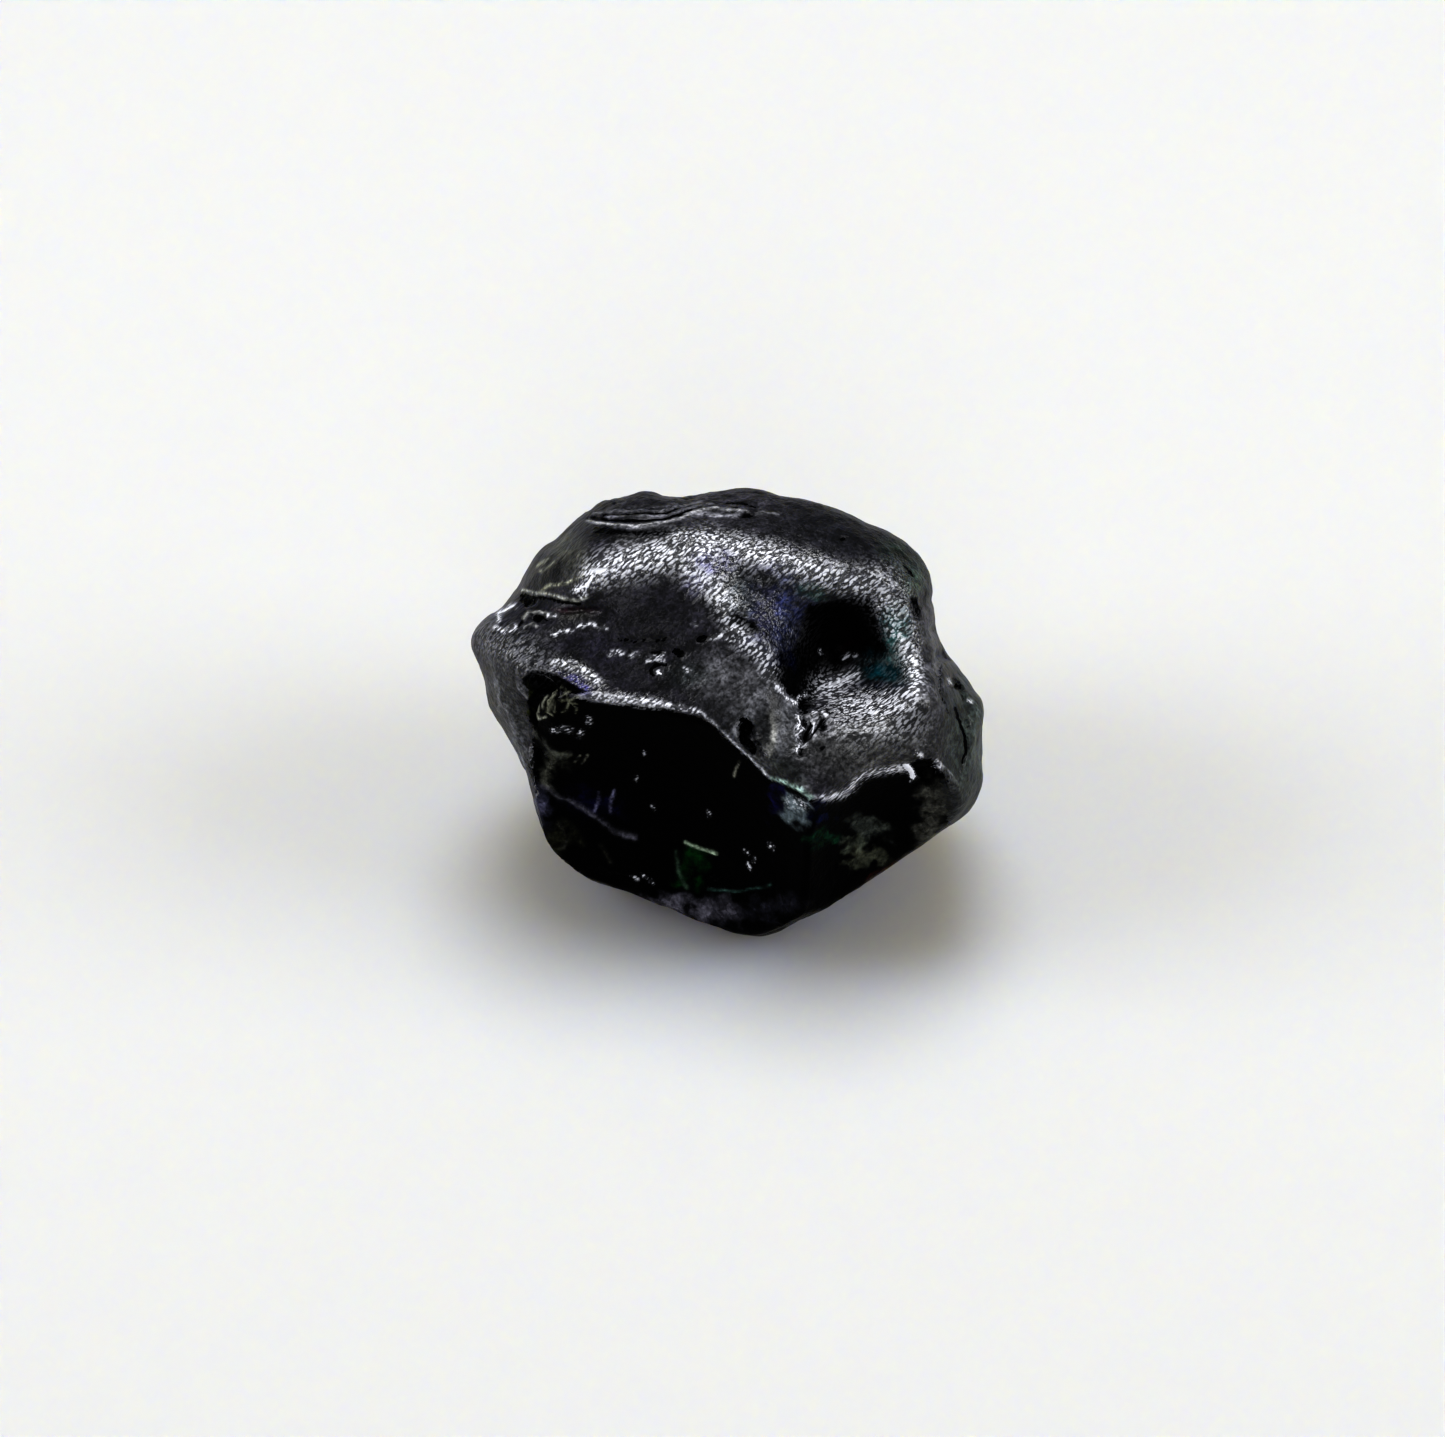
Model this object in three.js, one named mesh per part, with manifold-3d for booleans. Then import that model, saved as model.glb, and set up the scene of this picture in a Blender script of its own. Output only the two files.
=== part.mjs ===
// A rough sapphire: one water-worn, near-black corundum pebble about 12 mm wide.
// Millimetres, +Z up, standing on its own small flat, origin under the middle of its box.
//
// The stone is shaped in its "face frame": X across, Y up along the broad worn face and
// Z out of that face. It is then turned about X so that the face leans back as it rests.

import * as THREE from 'three';
import { mergeVertices } from 'three/addons/utils/BufferGeometryUtils.js';
import { ImprovedNoise } from 'three/addons/math/ImprovedNoise.js';
import Module from 'manifold-3d';

const DEG = Math.PI / 180;
const { clamp, smoothstep } = THREE.MathUtils;

// ---- driving dimensions -------------------------------------------------------------

const FACE_ELEVATION = 42 * DEG; // how far the broad face's outward normal stands above level
const REST_TURN = Math.PI / 2 - FACE_ELEVATION; // turn about X from face frame to rest
const CENTRE_HEIGHT = 4.38; // height of the girdle's middle above the resting flat
const SKIN_DETAIL = 16; // splits of each icosahedron edge: triangles about 0.35 mm across
const FRONT_BREAK_DETAIL = 11;
const BACK_BREAK_DETAIL = 6;
const BITE_DETAIL = 3;
const WAVES = 2.3; // waves of roughness across a bite's radius
const FRONT_CROWDING = 0.8; // under 1 the skin's triangles are smaller on the broad face
const RIM_FADE = 1.4; // depth over which lumps and swells die out towards the girdle

// The girdle: the stone's outline seen square to the broad face, anticlockwise from the right.
const GIRDLE = [
  [5.96, 0.29], [5.51, 1.07], [5.02, 1.5], [4.72, 2.75], [4.72, 3.1], [3.99, 4.04],
  [2.7, 4.81], [0.81, 5.23], [-1.1, 5.12], [-1.5, 5.18], [-2.92, 5.05], [-3.97, 4.32],
  [-4.72, 3.45], [-5.0, 2.85], [-5.37, 2.45], [-6.0, 1.67], [-5.89, 1.23], [-5.49, 0.29],
  [-4.86, -0.76], [-4.55, -1.81], [-4.09, -3.1], [-3.38, -3.88], [-2.33, -4.23],
  [-0.69, -4.91], [0.1, -5.16], [0.6, -5.25], [1.1, -5.16], [1.65, -4.86], [3.29, -3.92],
  [4.7, -2.94], [5.75, -2.17], [6.0, -1.11],
];

// The two domes that the girdle joins: where each is highest, how high, and how square-shouldered.
const FRONT = { apex: [0.9, -1.6], height: 4.0, fullness: 2.5 };
const BACK = { apex: [0.2, 0.9], height: 5.0, fullness: 2.4 };

// Soft swells and dents of the broad face: middle, half-widths, turn and height along Z.
const SWELLS = [
  { name: 'valley', at: [-1.7, 0.6], half: [1.9, 1.5], turn: -8, rise: -0.45 },
  { name: 'hollow', at: [2.5, 1.3], half: [1.2, 1.15], turn: 20, rise: -1.75 },
  { name: 'hollow tip', at: [1.75, 0.2], half: [0.45, 0.8], turn: -25, rise: -0.5 },
  { name: 'crest corner', at: [-3.0, 3.3], half: [0.8, 0.8], turn: 0, rise: 0.3 },
  { name: 'shoulder', at: [-4.7, 1.6], half: [1.0, 0.8], turn: 0, rise: 0.35 },
  { name: 'cheek', at: [3.6, -0.7], half: [1.2, 0.6], turn: 10, rise: 0.2 },
];

// Long swells and grooves: the line each follows on the face, half-width and height along Z.
const RIDGES = [
  {
    name: 'crest',
    path: [[-3.3, 3.0], [-3.0, 3.45], [-2.1, 3.6], [-0.9, 4.0], [0.7, 3.8], [2.8, 3.35],
      [3.8, 2.9], [4.35, 1.9], [4.4, 0.5]],
    half: 0.75,
    rise: 0.42,
  },
  { name: 'rib', path: [[-0.9, 3.9], [-0.1, 2.5], [0.7, 1.7], [1.2, 1.2]], half: 0.4, rise: 0.3 },
  { name: 'tongue', path: [[0.8, 1.2], [1.0, 0.0], [1.5, -1.7]], half: 0.7, rise: 0.25 },
  { name: 'hollow lip', path: [[2.2, -0.3], [3.2, -0.3], [4.2, 0.3]], half: 0.45, rise: 0.35 },
  { name: 'left lip', path: [[-5.4, 1.2], [-4.6, 0.75], [-3.6, 0.45], [-2.9, 0.2]], half: 0.35, rise: 0.25 },
  { name: 'shoulder groove', path: [[-5.2, 2.5], [-4.0, 2.45], [-3.1, 2.3]], half: 0.3, rise: -0.2 },
  { name: 'knob groove', path: [[5.25, 1.3], [5.3, 0.2], [5.1, -1.2]], half: 0.3, rise: -0.35 },
];

// Water-worn lumps all over: size from lump to lump, and height.
const LUMPS = [
  { pitch: 3.1, height: 0.22, shift: [5.2, 1.7, 3.3] },
  { pitch: 1.2, height: 0.06, shift: [8.1, 2.9, 4.4] },
];

// The glassy breaks under the broad face, each a piece of a large egg: its middle and radii.
// The left and right ones meet in the cusp at the tongue's end.
const FRONT_BREAKS = [
  { name: 'left break', middle: [-3.1, -6.4, 7.44], radii: [7.0, 7.8, 7.8] },
  { name: 'right break', middle: [4.35, -6.5, 6.4], radii: [4.1, 6.2, 6.2] },
  { name: 'left flank', middle: [-7.6, -2.8, 5.1], radii: [5.0, 5.0, 5.0] },
];

// Broad shallow breaks on the far side: the way each faces as the stone rests (azimuth from the
// front, elevation), its radius and how far it bites in.
const BACK_BREAKS = [
  { name: 'back left', toward: [-130, -2], radius: 6.5, deep: 0.6 },
  { name: 'back', toward: [178, 18], radius: 8.0, deep: 0.55 },
  { name: 'back right', toward: [132, -8], radius: 6.5, deep: 0.65 },
  { name: 'right flank', toward: [95, -25], radius: 5.0, deep: 0.3 },
  { name: 'left foot', toward: [-80, -35], radius: 5.0, deep: 0.35 },
  { name: 'back foot', toward: [178, -32], radius: 6.0, deep: 0.5 },
];

// Pits, slots and cavities: place on the face or the way they face, radii, depth and turn.
const BITES = [
  { name: 'left cavity', at: [-4.35, 0.5], radii: [0.55, 0.36, 0.7], deep: 0.6, turn: -15 },
  { name: 'left slot', at: [-4.35, -1.2], radii: [0.16, 0.5, 0.5], deep: 0.35, turn: 8 },
  { name: 'keyhole top', at: [0.42, -0.42], radii: [0.2, 0.22, 0.5], deep: 0.4 },
  { name: 'keyhole foot', at: [0.58, -0.85], radii: [0.15, 0.25, 0.5], deep: 0.35 },
  { name: 'crevice', at: [1.8, -0.35], radii: [0.14, 0.5, 0.7], deep: 0.6, turn: -25 },
  { name: 'crevice slot', at: [2.15, -0.3], radii: [0.1, 0.24, 0.5], deep: 0.35, turn: -20 },
  { name: 'cheek pit', at: [4.62, -1.5], radii: [0.36, 0.34, 0.6], deep: 0.5 },
  { name: 'knob crack', at: [5.5, -0.5], radii: [0.08, 0.8, 0.4], deep: 0.25, turn: 3 },
  { name: 'knob pit', at: [5.4, 0.6], radii: [0.14, 0.22, 0.3], deep: 0.16 },
  { name: 'rib pit', at: [0.25, 2.05], radii: [0.32, 0.16, 0.4], deep: 0.22, turn: -20 },
  { name: 'rim pit', at: [4.3, 2.5], radii: [0.13, 0.2, 0.4], deep: 0.25 },
  { name: 'valley crater', at: [-1.7, 1.0], radii: [0.22, 0.2, 0.3], deep: 0.14 },
  { name: 'cusp chip', at: [1.78, -2.35], radii: [1.3, 0.8, 1.2], deep: 0.16, rough: 0.08 },
  { name: 'green chip', at: [-0.5, -3.65], radii: [1.5, 1.0, 1.2], deep: 0.14, rough: 0.08 },
  { name: 'back pit', toward: [165, 30], radii: [0.5, 0.3, 0.5], deep: 0.35, turn: 30 },
  { name: 'back slot', toward: [-150, 40], radii: [0.9, 0.14, 0.5], deep: 0.3, turn: 12 },
  { name: 'flank pit', toward: [100, 15], radii: [0.3, 0.45, 0.5], deep: 0.35 },
];

// Parting ledges along the top of the stone: thin steps lying nearly parallel.
const LEDGES = {
  first: [-2.6, 4.45], step: [0.35, 0.2], count: 3, radii: [1.15, 0.07, 0.4], deep: 0.16, turn: 4,
};

// ---- the worn pebble ----------------------------------------------------------------

const noise = new ImprovedNoise();
const faceNormal = new THREE.Vector3(0, 0, 1);

const GIRDLE_STEPS = 720;
const girdle = new THREE.CatmullRomCurve3(
  GIRDLE.map(([x, y]) => new THREE.Vector3(x, y, 0)),
  true,
  'centripetal',
).getSpacedPoints(GIRDLE_STEPS);

// Where the ray from the girdle's middle at this angle leaves the girdle.
function girdleAt(angle) {
  const ray = new THREE.Vector2(Math.cos(angle), Math.sin(angle));
  for (let i = 1; i < girdle.length; i += 1) {
    const before = ray.cross(girdle[i - 1]);
    const after = ray.cross(girdle[i]);
    if (before <= 0 && after > 0 && ray.dot(girdle[i]) > 0) {
      return girdle[i - 1].clone().lerp(girdle[i], before / (before - after));
    }
  }
  throw new Error('the girdle does not close round its middle');
}

// Moves a direction towards the front pole, so that the triangles crowd there.
function crowded(direction) {
  const fromPole = direction.angleTo(faceNormal);
  const nearer = 2 * Math.atan(FRONT_CROWDING * Math.tan(fromPole / 2));
  const around = Math.atan2(direction.y, direction.x);
  const level = Math.sin(nearer);
  return new THREE.Vector3(Math.cos(around) * level, Math.sin(around) * level, Math.cos(nearer));
}

// A point of the smooth body: each dome closes from the shared girdle to its own apex.
function domed(direction) {
  const dome = direction.z >= 0 ? FRONT : BACK;
  const power = 2 / dome.fullness;
  const spread = Math.hypot(direction.x, direction.y) ** power;
  const rise = Math.sign(direction.z) * dome.height * Math.abs(direction.z) ** power;
  const edge = girdleAt(Math.atan2(direction.y, direction.x));
  const x = dome.apex[0] + (edge.x - dome.apex[0]) * spread;
  const y = dome.apex[1] + (edge.y - dome.apex[1]) * spread;
  return new THREE.Vector3(x, y, rise);
}

// Height of a bump of this half-width at `gap` from its middle.
const bell = (gap, half) => Math.exp(-((gap / half) ** 2));

function gapToPath(x, y, path) {
  let nearest = Infinity;
  for (let i = 1; i < path.length; i += 1) {
    const [x0, y0] = path[i - 1];
    const dx = path[i][0] - x0;
    const dy = path[i][1] - y0;
    const along = ((x - x0) * dx + (y - y0) * dy) / (dx * dx + dy * dy);
    const t = clamp(along, 0, 1);
    nearest = Math.min(nearest, Math.hypot(x - x0 - dx * t, y - y0 - dy * t));
  }
  return nearest;
}

function swellAt(point) {
  let lift = 0;
  for (const { at, half, turn, rise } of SWELLS) {
    const c = Math.cos(turn * DEG);
    const s = Math.sin(turn * DEG);
    const dx = point.x - at[0];
    const dy = point.y - at[1];
    lift += rise * bell(dx * c + dy * s, half[0]) * bell(-dx * s + dy * c, half[1]);
  }
  for (const { path, half, rise } of RIDGES) {
    lift += rise * bell(gapToPath(point.x, point.y, path), half);
  }
  return lift;
}

function lumpAt({ x, y, z }) {
  let lift = 0;
  for (const { pitch, height, shift } of LUMPS) {
    lift += height * noise.noise(x / pitch + shift[0], y / pitch + shift[1], z / pitch + shift[2]);
  }
  return lift;
}

// Keeps only positions, with shared vertices merged.
function bare(geometry) {
  const copy = geometry.clone();
  copy.deleteAttribute('normal');
  copy.deleteAttribute('uv');
  return mergeVertices(copy, 1e-4);
}

// Moves every vertex of a geometry to where `place` sends it.
function reshaped(geometry, place) {
  const position = geometry.getAttribute('position');
  const point = new THREE.Vector3();
  for (let i = 0; i < position.count; i += 1) {
    const moved = place(point.fromBufferAttribute(position, i));
    position.setXYZ(i, moved.x, moved.y, moved.z);
  }
  return geometry;
}

function wornSkin() {
  return reshaped(bare(new THREE.IcosahedronGeometry(1, SKIN_DETAIL)), (vertex) => {
    const point = domed(crowded(vertex.normalize()));
    const offRim = smoothstep(Math.abs(point.z), 0, RIM_FADE);
    const outward = point.clone().normalize();
    const onFace = smoothstep(point.z, 0, RIM_FADE);
    const lift = swellAt(point) * onFace;
    point.addScaledVector(outward, lumpAt(point) * offRim);
    point.z += lift;
    return point;
  });
}

// ---- joins and cuts -----------------------------------------------------------------

const wasm = await Module();
wasm.setup();

function solid(geometry) {
  const merged = bare(geometry);
  return new wasm.Manifold(new wasm.Mesh({
    numProp: 3,
    vertProperties: new Float32Array(merged.getAttribute('position').array),
    triVerts: new Uint32Array(merged.index.array),
  }));
}

function geometryOf(manifold) {
  const mesh = manifold.getMesh();
  const geometry = new THREE.BufferGeometry();
  geometry.setAttribute('position', new THREE.BufferAttribute(mesh.vertProperties, 3));
  geometry.setIndex(new THREE.BufferAttribute(mesh.triVerts, 1));
  return geometry;
}

let stone = solid(wornSkin());
const FAR = 20; // starting distance of a probe, well outside the stone

// The way the resting stone faces at an azimuth and elevation, given in the face frame.
function facing([azimuth, elevation]) {
  const level = Math.cos(elevation * DEG);
  const x = Math.sin(azimuth * DEG) * level;
  const y = -Math.cos(azimuth * DEG) * level;
  const z = Math.sin(elevation * DEG);
  return new THREE.Vector3(x, y, z).applyAxisAngle(new THREE.Vector3(1, 0, 0), -REST_TURN);
}

// The stone's point and outward direction at a place on the face, or at a way it faces.
function seat(surface, { at, toward }) {
  const back = toward ? facing(toward) : faceNormal;
  const start = toward ? back.clone().multiplyScalar(FAR) : new THREE.Vector3(at[0], at[1], FAR);
  const hit = new THREE.Raycaster(start, back.clone().negate()).intersectObject(surface)[0];
  if (!hit) throw new Error('a bite misses the stone');
  return { point: hit.point, outward: hit.face.normal.clone() };
}

// A rough egg sunk into the surface, square to it: radii across, along and out.
function bite(surface, form) {
  const { radii, deep, turn = 0, rough = 0.35 } = form;
  const { point, outward } = seat(surface, form);
  const egg = reshaped(bare(new THREE.IcosahedronGeometry(1, BITE_DETAIL)), (p) => {
    const wave = noise.noise(p.x * WAVES + point.x, p.y * WAVES + point.y, p.z * WAVES);
    return p.multiplyScalar(1 + rough * wave);
  });
  egg.scale(...radii);
  egg.rotateZ(turn * DEG);
  egg.translate(0, 0, radii[2] - deep);
  egg.applyQuaternion(new THREE.Quaternion().setFromUnitVectors(faceNormal, outward));
  egg.translate(point.x, point.y, point.z);
  return solid(egg);
}

function frontBreak({ middle, radii }) {
  const egg = new THREE.IcosahedronGeometry(1, FRONT_BREAK_DETAIL);
  return solid(egg.scale(...radii).translate(...middle));
}

function backBreak(surface, { toward, radius, deep }) {
  const { point } = seat(surface, { toward });
  const middle = point.addScaledVector(facing(toward), radius - deep);
  const ball = new THREE.IcosahedronGeometry(radius, BACK_BREAK_DETAIL);
  return solid(ball.translate(middle.x, middle.y, middle.z));
}

function ledges() {
  const { first, step, count, radii, deep, turn } = LEDGES;
  return Array.from({ length: count }, (_, i) => (
    { at: [first[0] + step[0] * i, first[1] + step[1] * i], radii, deep, turn: turn * i, rough: 0.15 }
  ));
}

const surfaceOf = (manifold) => new THREE.Mesh(geometryOf(manifold), new THREE.MeshBasicMaterial());

const worn = surfaceOf(stone);
for (const form of FRONT_BREAKS) stone = stone.subtract(frontBreak(form));
for (const form of BACK_BREAKS) stone = stone.subtract(backBreak(worn, form));
const broken = surfaceOf(stone);
for (const form of [...BITES, ...ledges()]) stone = stone.subtract(bite(broken, form));

// ---- rest -----------------------------------------------------------------------------

const leaning = geometryOf(stone).rotateX(REST_TURN).translate(0, 0, CENTRE_HEIGHT);
const belowFloor = new THREE.BoxGeometry(FAR * 2, FAR * 2, FAR).translate(0, 0, -FAR / 2);
const resting = geometryOf(solid(leaning).subtract(solid(belowFloor)));
resting.computeBoundingBox();
const { min, max } = resting.boundingBox;
resting.translate(-(min.x + max.x) / 2, -(min.y + max.y) / 2, -min.z);
resting.computeVertexNormals();

const corundum = new THREE.MeshStandardMaterial({ color: 0x17161c, roughness: 0.35, metalness: 0 });
const sapphire = new THREE.Mesh(resting, corundum);
sapphire.name = 'sapphire';

const roughSapphire = new THREE.Group();
roughSapphire.add(sapphire);

export default roughSapphire;
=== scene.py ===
"""A water-worn rough sapphire on a pale sheet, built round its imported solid."""

import math

import bpy
import numpy as np
from bpy.props import FloatProperty, FloatVectorProperty, IntProperty, PointerProperty
from mathutils import Matrix, Vector, noise


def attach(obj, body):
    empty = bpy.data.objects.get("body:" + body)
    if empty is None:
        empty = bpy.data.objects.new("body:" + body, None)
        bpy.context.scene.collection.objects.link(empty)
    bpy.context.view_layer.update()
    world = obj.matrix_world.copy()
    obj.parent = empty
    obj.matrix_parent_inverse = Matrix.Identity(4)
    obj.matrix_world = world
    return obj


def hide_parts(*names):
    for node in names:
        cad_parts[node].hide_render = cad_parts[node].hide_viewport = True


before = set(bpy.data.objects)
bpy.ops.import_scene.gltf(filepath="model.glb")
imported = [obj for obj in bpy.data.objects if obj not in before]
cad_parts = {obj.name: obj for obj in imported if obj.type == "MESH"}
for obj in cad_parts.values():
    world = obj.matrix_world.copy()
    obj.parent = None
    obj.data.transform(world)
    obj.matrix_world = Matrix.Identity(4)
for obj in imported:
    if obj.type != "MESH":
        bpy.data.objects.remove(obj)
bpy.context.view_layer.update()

bl_info = {
    "name": "Rough sapphire",
    "version": (1, 0, 0),
    "blender": (4, 5, 0),
    "location": "3D View > Sidebar > Sapphire",
    "description": "Builds a water-worn rough sapphire and the sheet it is shown on",
    "category": "Object",
}

MM = 0.001  # one millimetre in scene units

# ---- where things are on the stone ---------------------------------------------------
#
# The stone rests leaning back: its broad worn face looks towards -Y and up, straight at the
# camera. Places on that face are in millimetres from the girdle's middle, across and up, as
# the camera sees them. Depth is along the face's own outward axis.

FACE_ELEVATION = math.radians(42)
FACE_MIDDLE = np.array((-0.02, -0.497, 4.38))  # from the middle of the base, mm
CAMERA_DISTANCE = 110.0  # from the girdle's middle, mm
CAMERA_AIM = (-0.164, -0.14)  # where the camera looks on the face, mm
VIEW_WIDTH = 33.84  # width of the view at the stone's middle, mm

ACROSS = np.array((1.0, 0.0, 0.0))
UP_FACE = np.array((0.0, math.sin(FACE_ELEVATION), math.cos(FACE_ELEVATION)))
OUT = np.array((0.0, -math.cos(FACE_ELEVATION), math.sin(FACE_ELEVATION)))

# The etched grains run up to the right on the face.
GRAIN_RUN = math.radians(42)
GRAIN_ALONG = Vector(ACROSS * math.cos(GRAIN_RUN) + UP_FACE * math.sin(GRAIN_RUN))
GRAIN_AXES = Matrix((GRAIN_ALONG, Vector(OUT).cross(GRAIN_ALONG), Vector(OUT))).transposed()

# The glassy breaks: middle and radii of the egg each follows, in the face's own axes.
BREAKS = (
    ("left break", (-3.1, -6.4, 7.44), (7.0, 7.8, 7.8)),
    ("right break", (4.35, -6.5, 6.4), (4.1, 6.2, 6.2)),
    ("left flank", (-7.6, -2.8, 5.1), (5.0, 5.0, 5.0)),
)

# The sharp edge where the breaks end and the worn skin begins, from left to right.
ARRIS = (
    (-4.75, 0.0), (-4.6, 0.35), (-4.3, 0.42), (-4.0, 0.44), (-3.6, 0.36), (-3.27, 0.29), (-2.7, 0.19),
    (-2.14, 0.19), (-1.72, 0.12), (-1.3, 0.05), (-0.88, -0.02), (-0.53, -0.23), (-0.18, -0.51),
    (0.18, -0.83), (0.66, -1.28), (0.93, -1.58), (1.54, -1.77), (1.85, -1.97), (2.29, -2.05),
    (2.83, -1.85), (3.1, -1.53), (3.37, -1.45), (3.71, -1.42), (4.05, -1.33), (4.25, -1.12),
    (4.5, -1.04), (4.8, -1.12), (4.93, -1.4), (5.0, -1.9), (5.1, -2.5), (5.4, -3.1),
)
BROKEN_FACE = ARRIS + (
    (6.5, -3.6), (6.5, -7.0), (-6.5, -7.0), (-6.5, -3.1), (-4.75, -2.5), (-4.45, -1.9), (-4.62, -1.1),
    (-4.57, -0.4),
)

# Where the outline swells out or draws in from the solid's: rise, half-width, path.
OUTLINE = (
    ("left flank", 0.22, 0.5, ((-5.5, 0.1), (-5.2, -0.6))),
    ("left flank low", 0.12, 0.5, ((-4.9, -1.3), (-4.5, -2.4), (-4.1, -3.2))),
    ("left tip", 0.1, 0.3, ((-5.75, 2.2), (-5.95, 1.7))),
    ("top left", -0.12, 0.35, ((-4.1, 4.2), (-3.3, 4.75), (-2.6, 5.05))),
    ("top", -0.1, 0.3, ((-1.5, 5.15), (-0.9, 5.1))),
    ("top right", -0.13, 0.4, ((1.3, 5.1), (2.2, 5.0), (3.2, 4.6))),
    ("knob top", -0.13, 0.3, ((5.5, 0.9), (5.75, 0.6))),
    ("knob side", -0.12, 0.45, ((5.95, -0.5), (5.9, -1.0))),
)

# Where the skin is etched to a sugary grain: place, half-widths, turn, strength.
GRAIN = (
    ("crest left", (-2.0, 3.5), (1.6, 0.43), 12, 1.0),
    ("crest corner", (-3.2, 3.25), (0.35, 0.45), 0, 1.0),
    ("crest bend", (-0.6, 3.6), (1.0, 0.8), -10, 1.0),
    ("crest right", (1.6, 3.45), (2.0, 0.45), -17, 1.0),
    ("rim", (3.8, 2.7), (0.6, 0.9), 10, 0.9),
    ("rim wall", (4.2, 1.5), (0.3, 1.0), 5, 1.0),
    ("blue slope", (0.95, 2.5), (0.95, 1.1), -20, 0.4),
    ("hollow foot", (3.5, 1.0), (0.7, 0.5), 0, 0.1),
    ("hollow lip", (3.2, 0.15), (1.2, 0.45), 5, 1.0),
    ("rib", (-0.1, 2.7), (0.4, 0.9), 32, 0.8),
    ("left tip", (-5.0, 1.45), (0.9, 0.5), -20, 0.6),
    ("left lip", (-3.6, 0.9), (0.8, 0.3), -30, 0.9),
    ("arris", (-2.3, 0.35), (0.8, 0.15), 0, 0.8),
    ("cheek", (3.3, -0.6), (0.9, 0.6), 0, 0.5),
)

# Black mouths of hollows and pits, where no frosted skin is left, the black partly painted shade on walls
# and floors out of the light: depth, raggedness, outline.
HOLES = (
    ("hollow", 0.0, 0.16,
     ((1.75, 2.3), (1.85, 2.58), (2.3, 2.62), (2.75, 2.66), (3.3, 2.7), (3.42, 2.3), (3.55, 1.9),
      (3.72, 1.5), (3.6, 1.25), (3.2, 1.3), (2.95, 1.3), (2.75, 1.1), (2.5, 0.92), (2.25, 0.72),
      (2.1, 0.42), (1.93, 0.1), (1.72, -0.05), (1.6, 0.08), (1.48, 0.35), (1.2, 0.55), (1.0, 0.85),
      (0.88, 1.2), (1.15, 1.4), (1.5, 1.5), (1.66, 1.85))),
    ("left cavity", 0.2, 0.08,
     ((-4.9, 0.78), (-4.72, 0.98), (-4.3, 1.0), (-4.0, 0.86), (-3.75, 0.68), (-3.35, 0.5), (-3.7, 0.46),
      (-4.05, 0.46), (-4.35, 0.42), (-4.42, 0.1), (-4.5, -0.3), (-4.68, 0.1), (-4.74, 0.45))),
    ("left slot", 0.12, 0.15,
     ((-4.55, -0.85), (-4.35, -0.95), (-4.15, -1.3), (-4.3, -1.7), (-4.5, -1.6), (-4.6, -1.2))),
    ("keyhole", 0.25, 0.05,
     ((0.33, -0.11), (0.51, -0.19), (0.57, -0.36), (0.49, -0.46), (0.47, -0.6), (0.6, -0.73),
      (0.65, -0.92), (0.56, -1.0), (0.39, -0.84), (0.26, -0.73), (0.2, -0.56), (0.26, -0.43),
      (0.19, -0.29), (0.21, -0.16))),
    ("crevice", 0.2, 0.06, ((2.1, -0.06), (2.24, -0.1), (2.25, -0.4), (2.12, -0.45), (2.05, -0.25))),
    ("cheek pit", 0.2, 0.08,
     ((4.26, -1.17), (4.55, -1.1), (4.79, -1.2), (4.84, -1.41), (4.76, -1.65), (4.59, -1.7),
      (4.45, -1.52), (4.33, -1.32))),
    ("rib pit", 0.12, 0.15,
     ((0.0, 2.3), (0.2, 2.35), (0.36, 2.2), (0.6, 2.06), (0.7, 1.88), (0.5, 1.8), (0.3, 1.88),
      (0.1, 2.0), (-0.1, 1.93), (-0.06, 2.12))),
    ("rim pit", 0.16, 0.1,
     ((4.22, 2.72), (4.42, 2.68), (4.52, 2.42), (4.44, 2.15), (4.3, 2.18), (4.2, 2.45))),
)

# Small pits: place, half-widths, turn, depth, how black the bottom is (painted shade).
PITS = (
    ("valley pit", (-0.63, 1.71), (0.12, 0.1), 0, 0.1, 1.0),
    ("valley hole", (-1.2, 1.4), (0.17, 0.13), 0, 0.06, 0.7),
    ("valley pocket", (-1.72, 1.4), (0.17, 0.06), 0, 0.06, 0.8),
    ("rim groove", (4.2, 3.3), (0.18, 0.05), -45, 0.06, 0.8),
    ("rim dot", (3.95, 2.72), (0.12, 0.07), 0, 0.05, 0.8),
    ("shoulder slit", (-3.5, 2.4), (0.45, 0.07), 0, 0.08, 0.3),
    ("shoulder pit", (-4.7, 2.6), (0.18, 0.09), 0, 0.08, 0.9),
    ("tip pit", (-4.5, 2.2), (0.12, 0.08), 0, 0.06, 0.9),
    ("knob pit", (5.3, 0.7), (0.2, 0.16), 0, 0.1, 0.7),
    ("top pit", (2.65, 4.1), (0.09, 0.05), 0, 0.04, 0.7),
    ("top hole", (0.12, 4.74), (0.09, 0.06), 0, 0.06, 0.9),
    ("top hole right", (0.38, 4.6), (0.13, 0.05), -20, 0.05, 0.8),
    ("smudge", (2.15, -0.83), (0.13, 0.17), 0, 0.02, 0.55),
    ("tongue chip", (1.72, -0.25), (0.06, 0.12), 20, 0.08, 0.9),
    ("tongue chip low", (1.62, -0.62), (0.05, 0.1), -20, 0.08, 0.9),
)
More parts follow.
